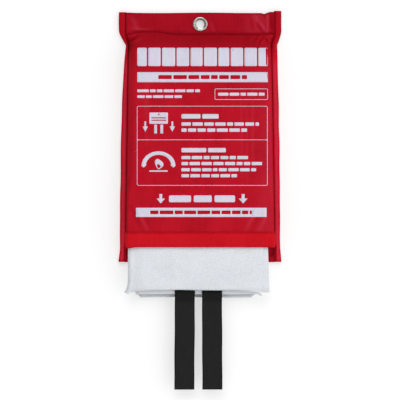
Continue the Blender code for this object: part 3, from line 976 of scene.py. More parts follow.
@dataclass
class BackPanel:
    """The flat panel against the wall, with a slack belly and the eyelet's hole."""

    form: PouchForm
    hole: float = 6.6 * MM
    inset: float = 0.9 * MM
    slack: float = 1.1 * MM

    def build(self) -> bpy.types.Object:
        levels = self.form.levels
        foot = levels.bottom + self.inset
        z = steps((levels.top - self.inset, 1.5 * MM), (-24 * MM, 3.2 * MM), (foot, 0))
        share = np.linspace(-1, 1, 121)[None, :]
        reach_left = self.form.left.outer(z)[:, None] - self.inset
        reach_right = self.form.right.outer(z)[:, None] - self.inset
        x = np.where(share < 0, share * reach_left, share * reach_right)
        height = np.broadcast_to(z[:, None], x.shape)
        features = [
            Ripples(21, 0.16 * MM, 0.060, 0.120),
            Ripples(22, 0.07 * MM, 0.018, 0.060),
            *creases(
                (-60, -30, -30, -90, 3, 0.25),
                (55, -28, 35, -80, 3, -0.25),
                (-70, -270, -20, -250, 4, 0.25),
            ),
        ]
        belly = np.cos(np.pi / 2 * np.abs(share)) * bell(height, -0.16, 0.10)
        calm = ease(np.abs(share), 0.9, 0.82) * ease(height, -8 * MM, -24 * MM)
        calm = calm * ease(height, levels.bottom + 8 * MM, levels.bottom + 20 * MM)
        y = levels.back + (belly * self.slack + lifted(features, x, height)) * calm
        points = np.stack([x, y, height], axis=2)
        middle = (points[:-1, :-1] + points[1:, 1:]) / 2
        keep = np.hypot(middle[..., 0], middle[..., 2]) > self.hole
        # Painted shade towards both sides under the bindings and in a line just above the hem.
        shade = ease(np.abs(share), 0.86, 0.95) * 0.35 + bell(height, levels.bottom + 9 * MM, 3 * MM) * 0.3
        panel = Sheet(points, FABRIC, np.broadcast_to(shade, x.shape), keep).build("back_panel_cloth")
        fit(panel, "pouch", PANEL_CLOTH, Slot.PANEL, "back_panel")
        return panel


def fold_rows(rear: int, bend: int, front: int) -> tuple[np.ndarray, np.ndarray, np.ndarray]:
    """Shares along a folded strip: rear leg from its free edge, bend, front leg to its free edge."""
    return (
        np.linspace(1, 0, rear),
        np.radians(np.linspace(-90, 90, bend + 2)[1:-1]),
        np.linspace(0, 1, front),
    )


@dataclass
class SideBinding:
    """The soft folded tape that closes one side of the pouch."""

    form: PouchForm
    side: int
    proud: float
    rear_width: float = 8.5 * MM
    seam_inset: float = 1.3 * MM
    tucked: float = 1.1 * MM

    def __post_init__(self) -> None:
        """Read the fold's depths from the frame's levels."""
        levels = self.form.levels
        self.radius = (levels.rear_fold - levels.front_fold) / 2
        self.middle = (levels.rear_fold + levels.front_fold) / 2
        self.line = self.form.line(self.side)
        self.waves = Ripples(31 + self.side, 0.16 * MM, 0.030, 0.028)
        self.sway = Ripples(41 + self.side, 0.22 * MM, 0.050, 0.060)

    def width(self, z: np.ndarray) -> np.ndarray:
        """The front leg's width at a height."""
        mouth = self.form.levels.mouth
        under = ease(z, -20 * MM, -34 * MM) * ease(z, mouth - 2 * MM, mouth + 8 * MM)
        return self.outer(z) - self.line.groove(z) + self.tucked * under

    def outer(self, z: np.ndarray) -> np.ndarray:
        """The binding's outer edge, a little uneven."""
        return self.line.outer(z) + self.sway.relief(np.zeros_like(z), z)

    def front_y(self, inward: np.ndarray, z: np.ndarray) -> np.ndarray:
        """The y of the front leg's middle at a distance in from the outer edge."""
        width = self.width(z)
        share = np.clip(inward / width, 0, 1)
        puff = 0.75 * MM + 1.5 * MM * bell(z, -27 * MM, 11 * MM) + 0.3 * MM * bell(z, 0.0, 12 * MM)
        body = puff * np.sin(np.pi * np.clip(share * 1.05, 0, 1) ** 0.85)
        seam = width - self.seam_inset
        dent = -0.42 * MM * bell(inward, seam, 0.55 * MM)
        ridge = 0.22 * MM * bell(inward, seam - 1.3 * MM, 0.6 * MM)
        pucker = 0.05 * MM * np.sin(2 * np.pi * z / Stitches.PITCH) * bell(inward, seam, 1.6 * MM)
        lift = body + dent + ridge + pucker + self.waves.relief(inward, z) * np.sin(np.pi * share)
        return self.form.levels.front_fold - lift

    def build(self, name: str) -> bpy.types.Object:
        """Args:
            name: "left_binding" or "right_binding", the CAD node it stands for.

        Returns:
            The binding.
        """
        levels = self.form.levels
        z = steps((levels.top + self.proud, 1.5 * MM), (levels.bottom, 0))
        rear, bend, front = fold_rows(6, 9, 19)
        z2 = z[:, None]
        outer = self.outer(z2)
        rear_in = self.radius + (self.rear_width - self.radius) * rear[None, :] + 0 * z2
        bend_in = self.radius * (1 - np.cos(bend))[None, :] + 0 * z2
        front_in = self.radius + (self.width(z2) - self.radius) * front[None, :]
        inward = np.concatenate([rear_in, bend_in, front_in], axis=1)
        rear_y = np.full_like(rear_in, levels.rear_fold)
        bend_y = self.middle - self.radius * np.sin(bend)[None, :] + 0 * z2
        front_y = self.front_y(front_in, z2)
        y = np.concatenate([rear_y, bend_y, front_y], axis=1)
        points = np.stack([self.side * (outer - inward), y, np.broadcast_to(z2, y.shape)], axis=2)
        # Painted shade along the outer fold and the seam; darker at the bottom end and towards the top.
        shade = 0.55 * ease(inward, 1.4 * MM, 0.0)
        near = np.zeros_like(inward)
        near[:, len(rear) + len(bend):] = bell(front_in, self.width(z2) - self.seam_inset, 0.7 * MM)
        ends = ease(points[..., 2], levels.bottom + 2.6 * MM, levels.bottom + 1.2 * MM) * 0.5
        upper = 0.45 * ease(points[..., 2], -52 * MM, -14 * MM)
        share = np.clip(inward / self.width(z2), 0, 1)
        # A painted highlight streak down the middle of the front leg below the waist.
        painted_highlight = -0.42 * bell(share, 0.42, 0.16) * ease(points[..., 2], -34 * MM, -60 * MM)
        painted_highlight[:, :len(rear)] = 0
        shade = np.clip(shade + near * 0.85 + ends + upper + painted_highlight, -1, 1)
        if self.side > 0:
            points, shade = points[:, ::-1], shade[:, ::-1]
        piece = Sheet(points[:, ::-1], FABRIC, shade[:, ::-1]).build(name + "_tape")
        fit(piece, "pouch", BINDING_CLOTH, Slot.BINDING, name)
        return piece

    def seam_points(self, z: np.ndarray, in_front: bool) -> np.ndarray:
        """Points along the binding's seam, on its front or its rear face."""
        x = self.side * (self.outer(z) - self.width(z) + self.seam_inset)
        y = self.front_y(self.width(z) - self.seam_inset, z) - FABRIC / 2
        if not in_front:
            x = self.side * (self.outer(z) - self.rear_width + self.seam_inset)
            y = np.full_like(z, self.form.levels.rear_fold + FABRIC / 2)
        return np.stack([x, y, z], axis=1)


@dataclass
class HeaderBand:
    """The darker band folded over the pouch's top, with the eyelet's hole."""

    form: PouchForm
    hole: float = 6.6 * MM
    seam_inset: float = 1.4 * MM

    def __post_init__(self) -> None:
        """Read the fold's depths from the frame's levels and list the creases."""
        levels = self.form.levels
        self.radius = (levels.rear_fold - levels.front_fold) / 2
        self.middle = (levels.rear_fold + levels.front_fold) / 2
        self.low, self.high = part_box("header_band")
        self.features: list[Relief] = [
            Ripples(51, 0.26 * MM, 0.026, 0.070),
            Ripples(52, 0.07 * MM, 0.009, 0.030),
            *creases(
                # the tucked pleat beside the right binding
                (88.4, 13, 88.4, -12, 2.6, -0.9),
                (84.2, 13.4, 83.6, -11, 1.1, 0.55),
                (86.6, -3.5, 87.4, -9.2, 0.9, 0.55),
                (77.6, 13.6, 81.8, 8.2, 1.0, -0.75),
                (80.3, 13.6, 83.4, 7.0, 1.0, 0.45),
                (68, 11.5, 71, 3.5, 2.2, 0.35),
                (73.5, 3, 82, -9, 1.7, 0.45),
                (70, 1.5, 77, -9.5, 1.7, -0.35),
                (62, 9, 66, -8, 2.4, -0.25),
                # slack beside the eyelet and towards the left
                (13, 3, 17, -10, 1.8, 0.22),
                (18, 5, 21, -9, 1.8, -0.20),
                (-84, 8, -78, -8, 3.0, 0.30),
                (-86, -5, -58, -8.5, 2.0, 0.35),
            ),
        ]

    def top(self, x: np.ndarray) -> np.ndarray:
        """The height of the top fold at x, with a dip where the right pleat starts."""
        wave = 0.25 * MM * np.sin(x / 0.019 + 1.2) - 1.1 * MM * bell(x, 0.0795, 2.6 * MM)
        return self.high.z + wave + 1.3 * MM * ease(x, 0.0805, 0.088) + 0.3 * MM * ease(x, -0.080, -0.092)

    def front_y(self, x: np.ndarray, z: np.ndarray) -> np.ndarray:
        """The y of the front leg's middle at (x, z)."""
        away = np.hypot(x, z)
        calm = ease(away, 9.5 * MM, 17 * MM)
        dish = -0.12 * MM * bell(away, 9.5 * MM, 2.5 * MM)
        seam = self.form.seam(x) + self.seam_inset
        dent = -0.32 * MM * bell(z, seam, 0.6 * MM)
        pad = 0.35 * MM * ease(z, seam, seam + 3 * MM)
        pucker = 0.06 * MM * np.sin(2 * np.pi * x / Stitches.PITCH) * bell(z, seam, 1.8 * MM)
        lift = (lifted(self.features, x, z) + pad) * calm + dish + dent + pucker
        return self.form.levels.front_fold - lift

    def build(self) -> bpy.types.Object:
        levels = self.form.levels
        reach = self.high.x
        x = np.linspace(-reach, reach, 130)[None, :]
        rear, bend, front = fold_rows(16, 9, 27)
        foot, top = self.form.seam(x), self.top(x)
        crest = top - self.radius
        rear_z = crest + (self.low.z - crest) * rear[:, None]
        bend_z = crest + self.radius * np.cos(bend)[:, None]
        front_z = crest + (foot - crest) * front[:, None]
        z = np.concatenate([rear_z, bend_z, front_z], axis=0)
        wide = np.broadcast_to(x, z.shape)
        rear_y = np.full_like(rear_z, levels.rear_fold)
        bend_y = self.middle - self.radius * np.sin(bend)[:, None] + 0 * x
        front_y = self.front_y(np.broadcast_to(x, front_z.shape), front_z)
        blend_in = ease(front_z, crest, crest - 4 * MM)
        front_y = levels.front_fold + (front_y - levels.front_fold) * blend_in
        y = np.concatenate([rear_y, bend_y, front_y], axis=0)
        points = np.stack([wide, y, z], axis=2)
        middle = (points[:-1, :-1] + points[1:, 1:]) / 2
        keep = np.hypot(middle[..., 0], middle[..., 2]) > self.hole
        # Painted shade along the top fold, the free edge, the seam and under the bindings; a painted
        # highlight on the right-hand ripples; painted shade and highlights on the creases.
        shade = 0.6 * ease(z, top - 2.0 * MM, top - 0.2 * MM)
        shade = shade + 0.3 * ease(z, foot + 1.0 * MM, foot)
        shade = shade + 0.30 * bell(z, foot + self.seam_inset, 0.7 * MM)
        shade = shade + 0.35 * ease(np.abs(wide), 0.0905, 0.0922)
        shade = shade - 0.14 * bell(wide, 0.070, 14 * MM) + painted_crease_shade(self.features, wide, z)
        band = Sheet(points, FABRIC, np.clip(shade, -1, 1), keep).build("header_band_cloth")
        fit(band, "pouch", HEADER_CLOTH, Slot.HEADER, "header_band")
        return band

    def seam_points(self, x: np.ndarray, in_front: bool) -> np.ndarray:
        """Points along the header's seam, on its front or its rear face."""
        z = self.form.seam(x) + self.seam_inset
        y = self.front_y(x, z) - FABRIC / 2
        if not in_front:
            z = np.full_like(x, self.low.z + self.seam_inset)
            y = np.full_like(x, self.form.levels.rear_fold + FABRIC / 2)
        return np.stack([x, y, z], axis=1)


@dataclass
class MouthBand:
    """The bright band folded round the front panel's lower edge."""

    form: PouchForm
    height: float = 17.7 * MM
    gap: float = 0.9 * MM
    seam_inset: float = 1.4 * MM
    hidden: int = 5

    def __post_init__(self) -> None:
        """Set up the band's own small waves."""
        self.ripples = Ripples(61, 0.10 * MM, 0.022, 0.030)

    def drop(self, x: np.ndarray) -> np.ndarray:
        """How far the lower edge hangs below its middle at x."""
        return 1.6 * MM * ease(x, -0.076, -0.091) + 0.4 * MM * ease(x, 0.070, 0.092)

    def surface(self, z: np.ndarray, offset: np.ndarray) -> np.ndarray:
        """Points at an offset in front of the panel's middle.

        Args:
            z: a height for each row.
            offset: how far in front of the panel's middle each row lies.

        Returns:
            Rows of points.
        """
        mouth = self.form.levels.mouth
        base = self.form.section(np.maximum(z, mouth))[:, self.hidden:-self.hidden]
        run = np.gradient(base, axis=1)
        out = np.stack([run[..., 1], -run[..., 0], np.zeros(base.shape[:2])], axis=2)
        out /= np.maximum(np.linalg.norm(out, axis=2, keepdims=True), 1e-12)
        points = base + out * offset[:, None, None]
        top = mouth + self.height
        sag = self.drop(points[..., 0]) * np.clip((top - z) / self.height, 0, 1.2)[:, None]
        points[..., 2] = z[:, None] - sag
        return points

    def lift(self, z: np.ndarray) -> np.ndarray:
        """The front leg's offset at a height: proud edges, a soft middle and a sewn line."""
        top = self.form.levels.mouth + self.height
        soft = 0.35 * MM * np.sin(np.pi * np.clip((top - z) / self.height, 0, 1))
        dent = -0.28 * MM * bell(z, top - self.seam_inset, 0.6 * MM)
        return self.gap + soft + dent

    def build(self) -> bpy.types.Object:
        mouth = self.form.levels.mouth
        front = np.linspace(mouth + self.height, mouth, 15)
        angle = np.radians(np.linspace(0, 180, 9)[1:-1])
        rear = np.linspace(mouth, mouth + self.height, 8)
        z = np.concatenate([front, mouth - self.gap * np.sin(angle), rear])
        offset = np.concatenate([self.lift(front), self.gap * np.cos(angle), np.full(len(rear), -self.gap)])
        points = self.surface(z, offset)
        wave = self.ripples.relief(points[..., 0], points[..., 2])
        points[: len(front), :, 1] -= wave[: len(front)] * 0.8
        seam = mouth + self.height - self.seam_inset
        # Painted shade along the seam, along the lower fold and on the hidden rear leg.
        shade = 0.55 * bell(z, seam, 0.6 * MM) + 0.25 * bell(z, mouth, 1.0 * MM)
        shade = np.where(np.arange(len(z)) < len(front) + len(angle), shade, 0.3)
        wide = np.broadcast_to(shade[:, None], points.shape[:2])
        piece = Sheet(points, FABRIC, wide).build("mouth_band_cloth")
        fit(piece, "pouch", BAND_CLOTH, Slot.BINDING, "mouth_band")
        return piece

    def seam_points(self) -> np.ndarray:
        """Points along the band's seam."""
        z = np.array([self.form.levels.mouth + self.height - self.seam_inset])
        row = self.surface(z, self.lift(z) + FABRIC / 2)[0]
        return row[4:-4]


@dataclass
class BackHem:
    """The narrow hem round the back panel's lower edge."""

    form: PouchForm
    height: float = 8.0 * MM
    seam_inset: float = 1.4 * MM
    beside: float = 8.1 * MM

    def __post_init__(self) -> None:
        """Read the fold's depths from the frame."""
        self.low, self.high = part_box("back_hem")
        self.front = self.low.y + FABRIC / 2
        self.rear = self.high.y - FABRIC / 2 - 0.05 * MM
        self.ripples = Ripples(71, 0.05 * MM, 0.020, 0.020)

    def build(self) -> bpy.types.Object:
        radius = (self.rear - self.front) / 2
        middle = (self.rear + self.front) / 2
        level = self.low.z
        reach = [self.form.line(side).outer(level) - self.beside for side in (-1, 1)]
        x = np.linspace(-reach[0], reach[1], 90)[None, :]
        rear, bend, front = fold_rows(6, 7, 9)
        crest = self.low.z + radius
        span = self.height - radius
        z = np.concatenate([crest + span * rear, crest - radius * np.cos(bend), crest + span * front])
        y = np.concatenate([np.full(len(rear), self.rear), middle - radius * np.sin(bend),
                            np.full(len(front), self.front)])
        high = np.broadcast_to(z[:, None], (len(z), x.shape[1]))
        wide = np.broadcast_to(x, high.shape)
        deep = y[:, None] - self.ripples.relief(wide, high) * (np.arange(len(z)) > len(rear) + 7)[:, None]
        points = np.stack([wide, deep, high], axis=2)[:, ::-1]
        # Painted shade along the seam and the lower fold; the whole hem a little darker.
        shade = 0.35 * bell(high, self.low.z + self.height - self.seam_inset, 0.7 * MM)
        shade = shade + 0.35 * bell(high, self.low.z, 1.3 * MM) + 0.15
        piece = Sheet(points, FABRIC, shade[:, ::-1]).build("back_hem_cloth")
        fit(piece, "pouch", PANEL_CLOTH, Slot.BINDING, "back_hem")
        return piece

    def seam_points(self, x: np.ndarray) -> np.ndarray:
        """Points along the hem's seam, on its rear face."""
        z = np.full_like(x, self.low.z + self.height - self.seam_inset)
        return np.stack([x, np.full_like(x, self.rear + FABRIC / 2), z], axis=1)


# ---- Stitches --------------------------------------------------------------------------

class Stitches:
    """Rows of single stitches laid along lines on the cloth."""

    PITCH = 3.2 * MM
    LENGTH = 2.5 * MM
    THICK = 0.42 * MM
    RINGS = 6
    AROUND = 7

    def __init__(self) -> None:
        """Start with no stitches."""
        self.verts: list[np.ndarray] = []
        self.faces: list[list[int]] = []
        self.maps: list[np.ndarray] = []
        self.count = 0

    def run(self, points: np.ndarray, out: Vector) -> "Stitches":
        """Sew along a line.

        Args:
            points: the line, on the cloth's face.
            out: the direction that the cloth's face points.

        Returns:
            These stitches.
        """
        gaps = np.linalg.norm(np.diff(points, axis=0), axis=1)
        along = np.concatenate([[0], gaps.cumsum()])
        for start in np.arange(self.PITCH * 0.4, along[-1] - self.LENGTH, self.PITCH):
            ends = [
                np.array([np.interp(at, along, points[:, axis]) for axis in range(3)])
                for at in (start, start + self.LENGTH)
            ]
            self._stitch(ends[0], ends[1], np.array(out, float))
        return self

    def _stitch(self, start: np.ndarray, end: np.ndarray, out: np.ndarray) -> None:
        """Add one stitch, highest at its middle and sunk at its ends."""
        run = (end - start) / np.linalg.norm(end - start)
        across = np.cross(run, out)
        across /= np.linalg.norm(across)
        rise = np.cross(across, run)
        place = np.linspace(-1, 1, self.RINGS)
        angle = np.arange(self.AROUND) * 2 * np.pi / self.AROUND
        middle, half = (start + end) / 2, (end - start) / 2
        rows = []
        for share in place:
            radius = self.THICK / 2 * (0.35 + 0.65 * math.sqrt(1 - abs(share) ** 3))
            height = self.THICK * (0.30 - 0.62 * share**2)
            centre = middle + half * share + rise * height
            ring = centre + radius * (np.outer(np.cos(angle), across) + np.outer(np.sin(angle), rise))
            rows.append(ring)
        first, n = self.count, self.AROUND
        for row in range(self.RINGS - 1):
            for i in range(n):
                j = (i + 1) % n
                a, b = first + row * n + i, first + row * n + j
                self.faces.append([a, a + n, b + n, b])
        self.faces.append([first + i for i in range(n)])
        self.faces.append([first + (self.RINGS - 1) * n + i for i in reversed(range(n))])
        self.verts.append(np.concatenate(rows))
        round_it = np.tile(angle * self.THICK / 2, self.RINGS)
        along = np.repeat((place + 1) / 2 * self.LENGTH, n)
        self.maps.append(np.stack([round_it, along], axis=1))
        self.count += self.RINGS * n

    def build(self, name: str) -> bpy.types.Object:
        """All the stitches as one object."""
        verts, maps = np.concatenate(self.verts), np.concatenate(self.maps)
        made = make_mesh(name, verts, self.faces, maps, np.zeros(len(verts)))
        face_outwards(made)
        return made


@dataclass
class Seams:
    """The pouch's seams."""

    header: HeaderBand
    left: SideBinding
    right: SideBinding
    mouth: MouthBand
    hem: BackHem
    hem_share: float = 0.97

    def build(self) -> None:
        """Sew the front and rear of each seam."""
        front, rear = Vector((0, -1, 0)), Vector((0, 1, 0))
        levels = self.header.form.levels
        wide = np.linspace(self.header.low.x + 1 * MM, self.header.high.x - 1 * MM, 400)
        tall = np.linspace(levels.top, levels.bottom + 1.5 * MM, 600)
        both = (("header", self.header, wide), ("left", self.left, tall), ("right", self.right, tall))
        for name, piece, line in both:
            self.sew(name + "_seam", piece.seam_points(line, True), front)
            self.sew(name + "_seam_rear", piece.seam_points(line, False), rear)
        self.sew("mouth_seam", self.mouth.seam_points(), front)
        self.sew("back_hem", self.hem.seam_points(wide * self.hem_share), rear)

    @staticmethod
    def sew(name: str, points: np.ndarray, out: Vector) -> None:
        """Sew one row of stitches, which stands for the CAD thread of the same name."""
        stitches = Stitches().run(points, out).build(name + "_stitches")
        fit(stitches, "pouch", RED_THREAD, Slot.THREAD, name + "_thread")


# ---- Eyelet ----------------------------------------------------------------------------

@dataclass
class Eyelet:
    """The rolled eyelet and the washer behind it."""

    segments: int = 96
    wall: float = 0.45 * MM

    def turned(self, name: str, profile: Sequence[Spot], shade: Sequence[float]) -> bpy.types.Object:
        """A ring turned round the eyelet's axis.

        Args:
            name: the object's name.
            profile: the closed outline as (radius, y).
            shade: how dark each of the outline's points is painted.

        Returns:
            The ring.
        """
        count = len(profile)
        turn = np.arange(self.segments) * 2 * np.pi / self.segments
        radius = np.array([r for r, _ in profile])
        y = np.array([d for _, d in profile])
        x = np.outer(np.cos(turn), radius)
        z = np.outer(np.sin(turn), radius)
        verts = np.stack([x, np.broadcast_to(y, x.shape), z], axis=2).reshape(-1, 3)
        faces = []
        for step in range(self.segments):
            far = (step + 1) % self.segments
            for i in range(count):
                j = (i + 1) % count
                faces.append([step * count + i, step * count + j, far * count + j, far * count + i])
        made = make_mesh(name, verts, faces, verts[:, [0, 2]], np.tile(shade, self.segments))
        face_outwards(made)
        return made

    def rolled(self) -> tuple[list[Spot], list[float]]:
        """The eyelet's outline: outer roll, shallow valley, inner lip, barrel and its flared end."""
        low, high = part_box("eyelet")
        flange, crest = high.x, low.y
        bore = 4.8 * MM
        seat = crest + 1.35 * MM
        rear = high.y - 0.05 * MM
        outline: list[Spot] = []
        shade: list[float] = []
        roll_radius = 1.35 * MM
        for angle in np.radians(np.linspace(200, 20, 14)):
            radius = flange - roll_radius + roll_radius * math.cos(angle)
            outline.append((radius, crest + roll_radius * 0.8 * (1 - math.sin(angle))))
            # painted shade on the roll's inner side
            shade.append(0.15 + 0.5 * max(0.0, -math.cos(angle)) ** 4)
        inner_top = crest + 0.75 * MM
        for share in np.linspace(0.15, 1, 8):
            radius = flange - 2 * roll_radius + (bore - flange + 2 * roll_radius + 0.2 * MM) * share
            dip = 0.35 * MM * math.sin(math.pi * share)
            outline.append((radius, inner_top + dip * 0.6 + 0.5 * MM * share**3))
            # a painted dark ring of shade and reflection in the valley
            shade.append(0.95 * bell(share, 0.35, 0.28) + 0.15)
        outline += [(bore, inner_top + 1.0 * MM), (bore, rear - 0.6 * MM), (bore + 0.35 * MM, rear)]
        shade += [0.35, 0.5, 0.5]
        outline += [(bore + 0.8 * MM, rear - 0.1 * MM), (bore + self.wall, rear - 0.8 * MM)]
        outline += [(bore + self.wall, seat), (flange - 0.9 * MM, seat)]
        shade += [0.6, 0.6, 0.6, 0.6]
        return outline, shade

    def build(self) -> None:
        """Build the eyelet and its washer."""
        outline, shade = self.rolled()
        ring = self.turned("eyelet_rolled", outline, shade)
        fit(ring, "pouch", NICKEL, Slot.STEEL, "eyelet")
        low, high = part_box("eyelet_washer")
        outer, front, rear = high.x, low.y, high.y
        bore = 5.6 * MM
        bevel = 0.25 * MM
        profile = [
            (bore, rear - bevel), (bore + bevel, rear), (outer - bevel * 2, rear),
            (outer, rear - bevel), (outer, front + bevel), (outer - bevel, front),
            (bore + bevel, front), (bore, front + bevel),
        ]
        washer = self.turned("eyelet_washer_plate", profile, [0.3] * len(profile))
        fit(washer, "pouch", NICKEL, Slot.STEEL, "eyelet_washer")


# ---- Print -----------------------------------------------------------------------------

def rectangle(left: float, top: float, right: float, bottom: float, rounding: float = 0.6) -> Loop:
    """A rectangle with rounded corners, in millimetres."""
    points: Loop = []
    corners = [(right, top, 1, 1), (left, top, -1, 1), (left, bottom, -1, -1), (right, bottom, 1, -1)]
    for quarter, (x, z, sign_x, sign_z) in enumerate(corners):
        for step in range(5):
            angle = math.pi / 2 * (quarter + step / 4)
            points.append((x - sign_x * rounding + rounding * math.cos(angle),
                           z - sign_z * rounding + rounding * math.sin(angle)))
    return points


def words(left: float, right: float, top: float, bottom: float, seed: int,
          longest: float = 15.0) -> list[Loop]:
    """A line of plain bars that stands in for words, in millimetres.

    Args:
        left: where the line starts.
        right: where it ends.
        top: its upper edge.
        bottom: its lower edge.
        seed: what its word lengths are drawn with.
        longest: the longest word.

    Returns:
        One outline for each bar.
    """
    draw = np.random.default_rng(seed)
    found: list[Loop] = []
    gap = 0.38 * (top - bottom)
    at = left
    while at < right - 2:
        end = min(at + draw.uniform(0.4, 1.0) * longest, right)
        if right - end < 4:
            end = right
        found.append(rectangle(at, top, end, bottom, 0.22 * (top - bottom)))
        at = end + gap
    return found


def arc(x: float, z: float, wide: float, high: float, angles: np.ndarray) -> Loop:
    """Points on an ellipse at some angles, in millimetres."""
    return [(x + wide * math.cos(angle), z + high * math.sin(angle)) for angle in angles]


def disc(x: float, z: float, radius: float) -> Loop:
    """A round outline, in millimetres."""
    return arc(x, z, radius, radius, np.linspace(0, 2 * math.pi, 25)[:-1])


def down_arrow(left: float, right: float, top: float, bottom: float) -> Loop:
    """An arrow that points down, in millimetres."""
    middle, half = (left + right) / 2, (right - left) / 2
    waist = bottom + 0.52 * (top - bottom)
    stem = half * 0.34
    return [(middle - stem, top), (middle - stem, waist), (left, waist), (middle, bottom),
            (right, waist), (middle + stem, waist), (middle + stem, top)]


@dataclass
class PrintLayer:
    """One part of the print, as a thin skin of ink draped on the front panel."""

    form: PouchForm
    name: str
    loops: list[Loop]
    lift: float = 0.06 * MM
    ink: float = 0.07 * MM
    pitch: float = 2.6
    nearer: float = 0.9946
    eye: Spot = (-0.25, -218.4)

    def _inside(self, spots: np.ndarray) -> np.ndarray:
        """Whether each spot is inside an odd number of outlines."""
        inside = np.zeros(len(spots), bool)
        x, z = spots[:, 0], spots[:, 1]
        for loop in self.loops:
            ring = np.array(loop)
            near, far = ring, np.roll(ring, -1, axis=0)
            for (x0, z0), (x1, z1) in zip(near, far):
                if z0 == z1:
                    continue
                crosses = (z0 > z) != (z1 > z)
                inside ^= crosses & (x < (x1 - x0) * (z - z0) / (z1 - z0) + x0)
        return inside

    def _boundary(self) -> tuple[list[Spot], list[tuple[int, int]]]:
        """The outlines' points, no further apart than the pitch, and the edges between them."""
        spots: list[Spot] = []
        edges: list[tuple[int, int]] = []
        for loop in self.loops:
            first = len(spots)
            for (x0, z0), (x1, z1) in zip(loop, loop[1:] + loop[:1]):
                count = max(1, math.ceil(math.hypot(x1 - x0, z1 - z0) / self.pitch))
                spots += [(x0 + (x1 - x0) * i / count, z0 + (z1 - z0) * i / count) for i in range(count)]
            last = len(spots)
            edges += [(i, i + 1 if i + 1 < last else first) for i in range(first, last)]
        return spots, edges

    def build(self) -> bpy.types.Object:
        """Drape the layer on the panel."""
        spots, edges = self._boundary()
        ring = np.array(spots)
        low, high = ring.min(0), ring.max(0)
        columns = np.arange(low[0], high[0], self.pitch)
        grid_x, grid_z = np.meshgrid(columns, np.arange(low[1], high[1], self.pitch))
        grid = np.stack([grid_x.ravel() + 0.37, grid_z.ravel() + 0.41], axis=1)
        grid = grid[self._inside(grid)]
        points = [Vector(spot) for spot in spots] + [Vector(spot) for spot in grid.tolist()]
        verts, _, faces, *_ = delaunay_2d_cdt(points, edges, [], 0, 1e-4)
        seen = np.array([(v.x, v.y) for v in verts])
        triangles = np.array([face for face in faces if len(face) == 3])
        triangles = triangles[self._inside(seen[triangles].mean(axis=1))]
        flat = np.array(self.eye) + (seen - np.array(self.eye)) * self.nearer
        a, b, c = (flat[triangles[:, i]] for i in range(3))
        turn = (b[:, 0] - a[:, 0]) * (c[:, 1] - a[:, 1]) - (b[:, 1] - a[:, 1]) * (c[:, 0] - a[:, 0])
        triangles = np.where((turn > 0)[:, None], triangles, triangles[:, ::-1])
        return self._solid(flat * MM, triangles)

    def _solid(self, flat: np.ndarray, triangles: np.ndarray) -> bpy.types.Object:
        """Close the draped triangles into a thin solid and fit it."""
        y = self.form.front_y(flat[:, 0], flat[:, 1]) - FABRIC / 2 - self.lift
        count = len(flat)
        outer = np.stack([flat[:, 0], y - self.ink, flat[:, 1]], axis=1)
        inner = np.stack([flat[:, 0], y, flat[:, 1]], axis=1)
        directed = {(int(t[i]), int(t[(i + 1) % 3])) for t in triangles for i in range(3)}
        rim = [(p, q) for p, q in directed if (q, p) not in directed]
        faces = [list(t) for t in triangles]
        faces += [[t[2] + count, t[1] + count, t[0] + count] for t in triangles]
        faces += [[q, p, p + count, q + count] for p, q in sorted(rim)]
        smooth = np.array([True] * (2 * len(triangles)) + [False] * len(rim))
        verts = np.concatenate([outer, inner])
        made = make_mesh(self.name, verts, faces, np.tile(flat, (2, 1)), np.zeros(len(verts)), smooth)
        return fit(made, "pouch", WHITE_INK, Slot.PANEL)


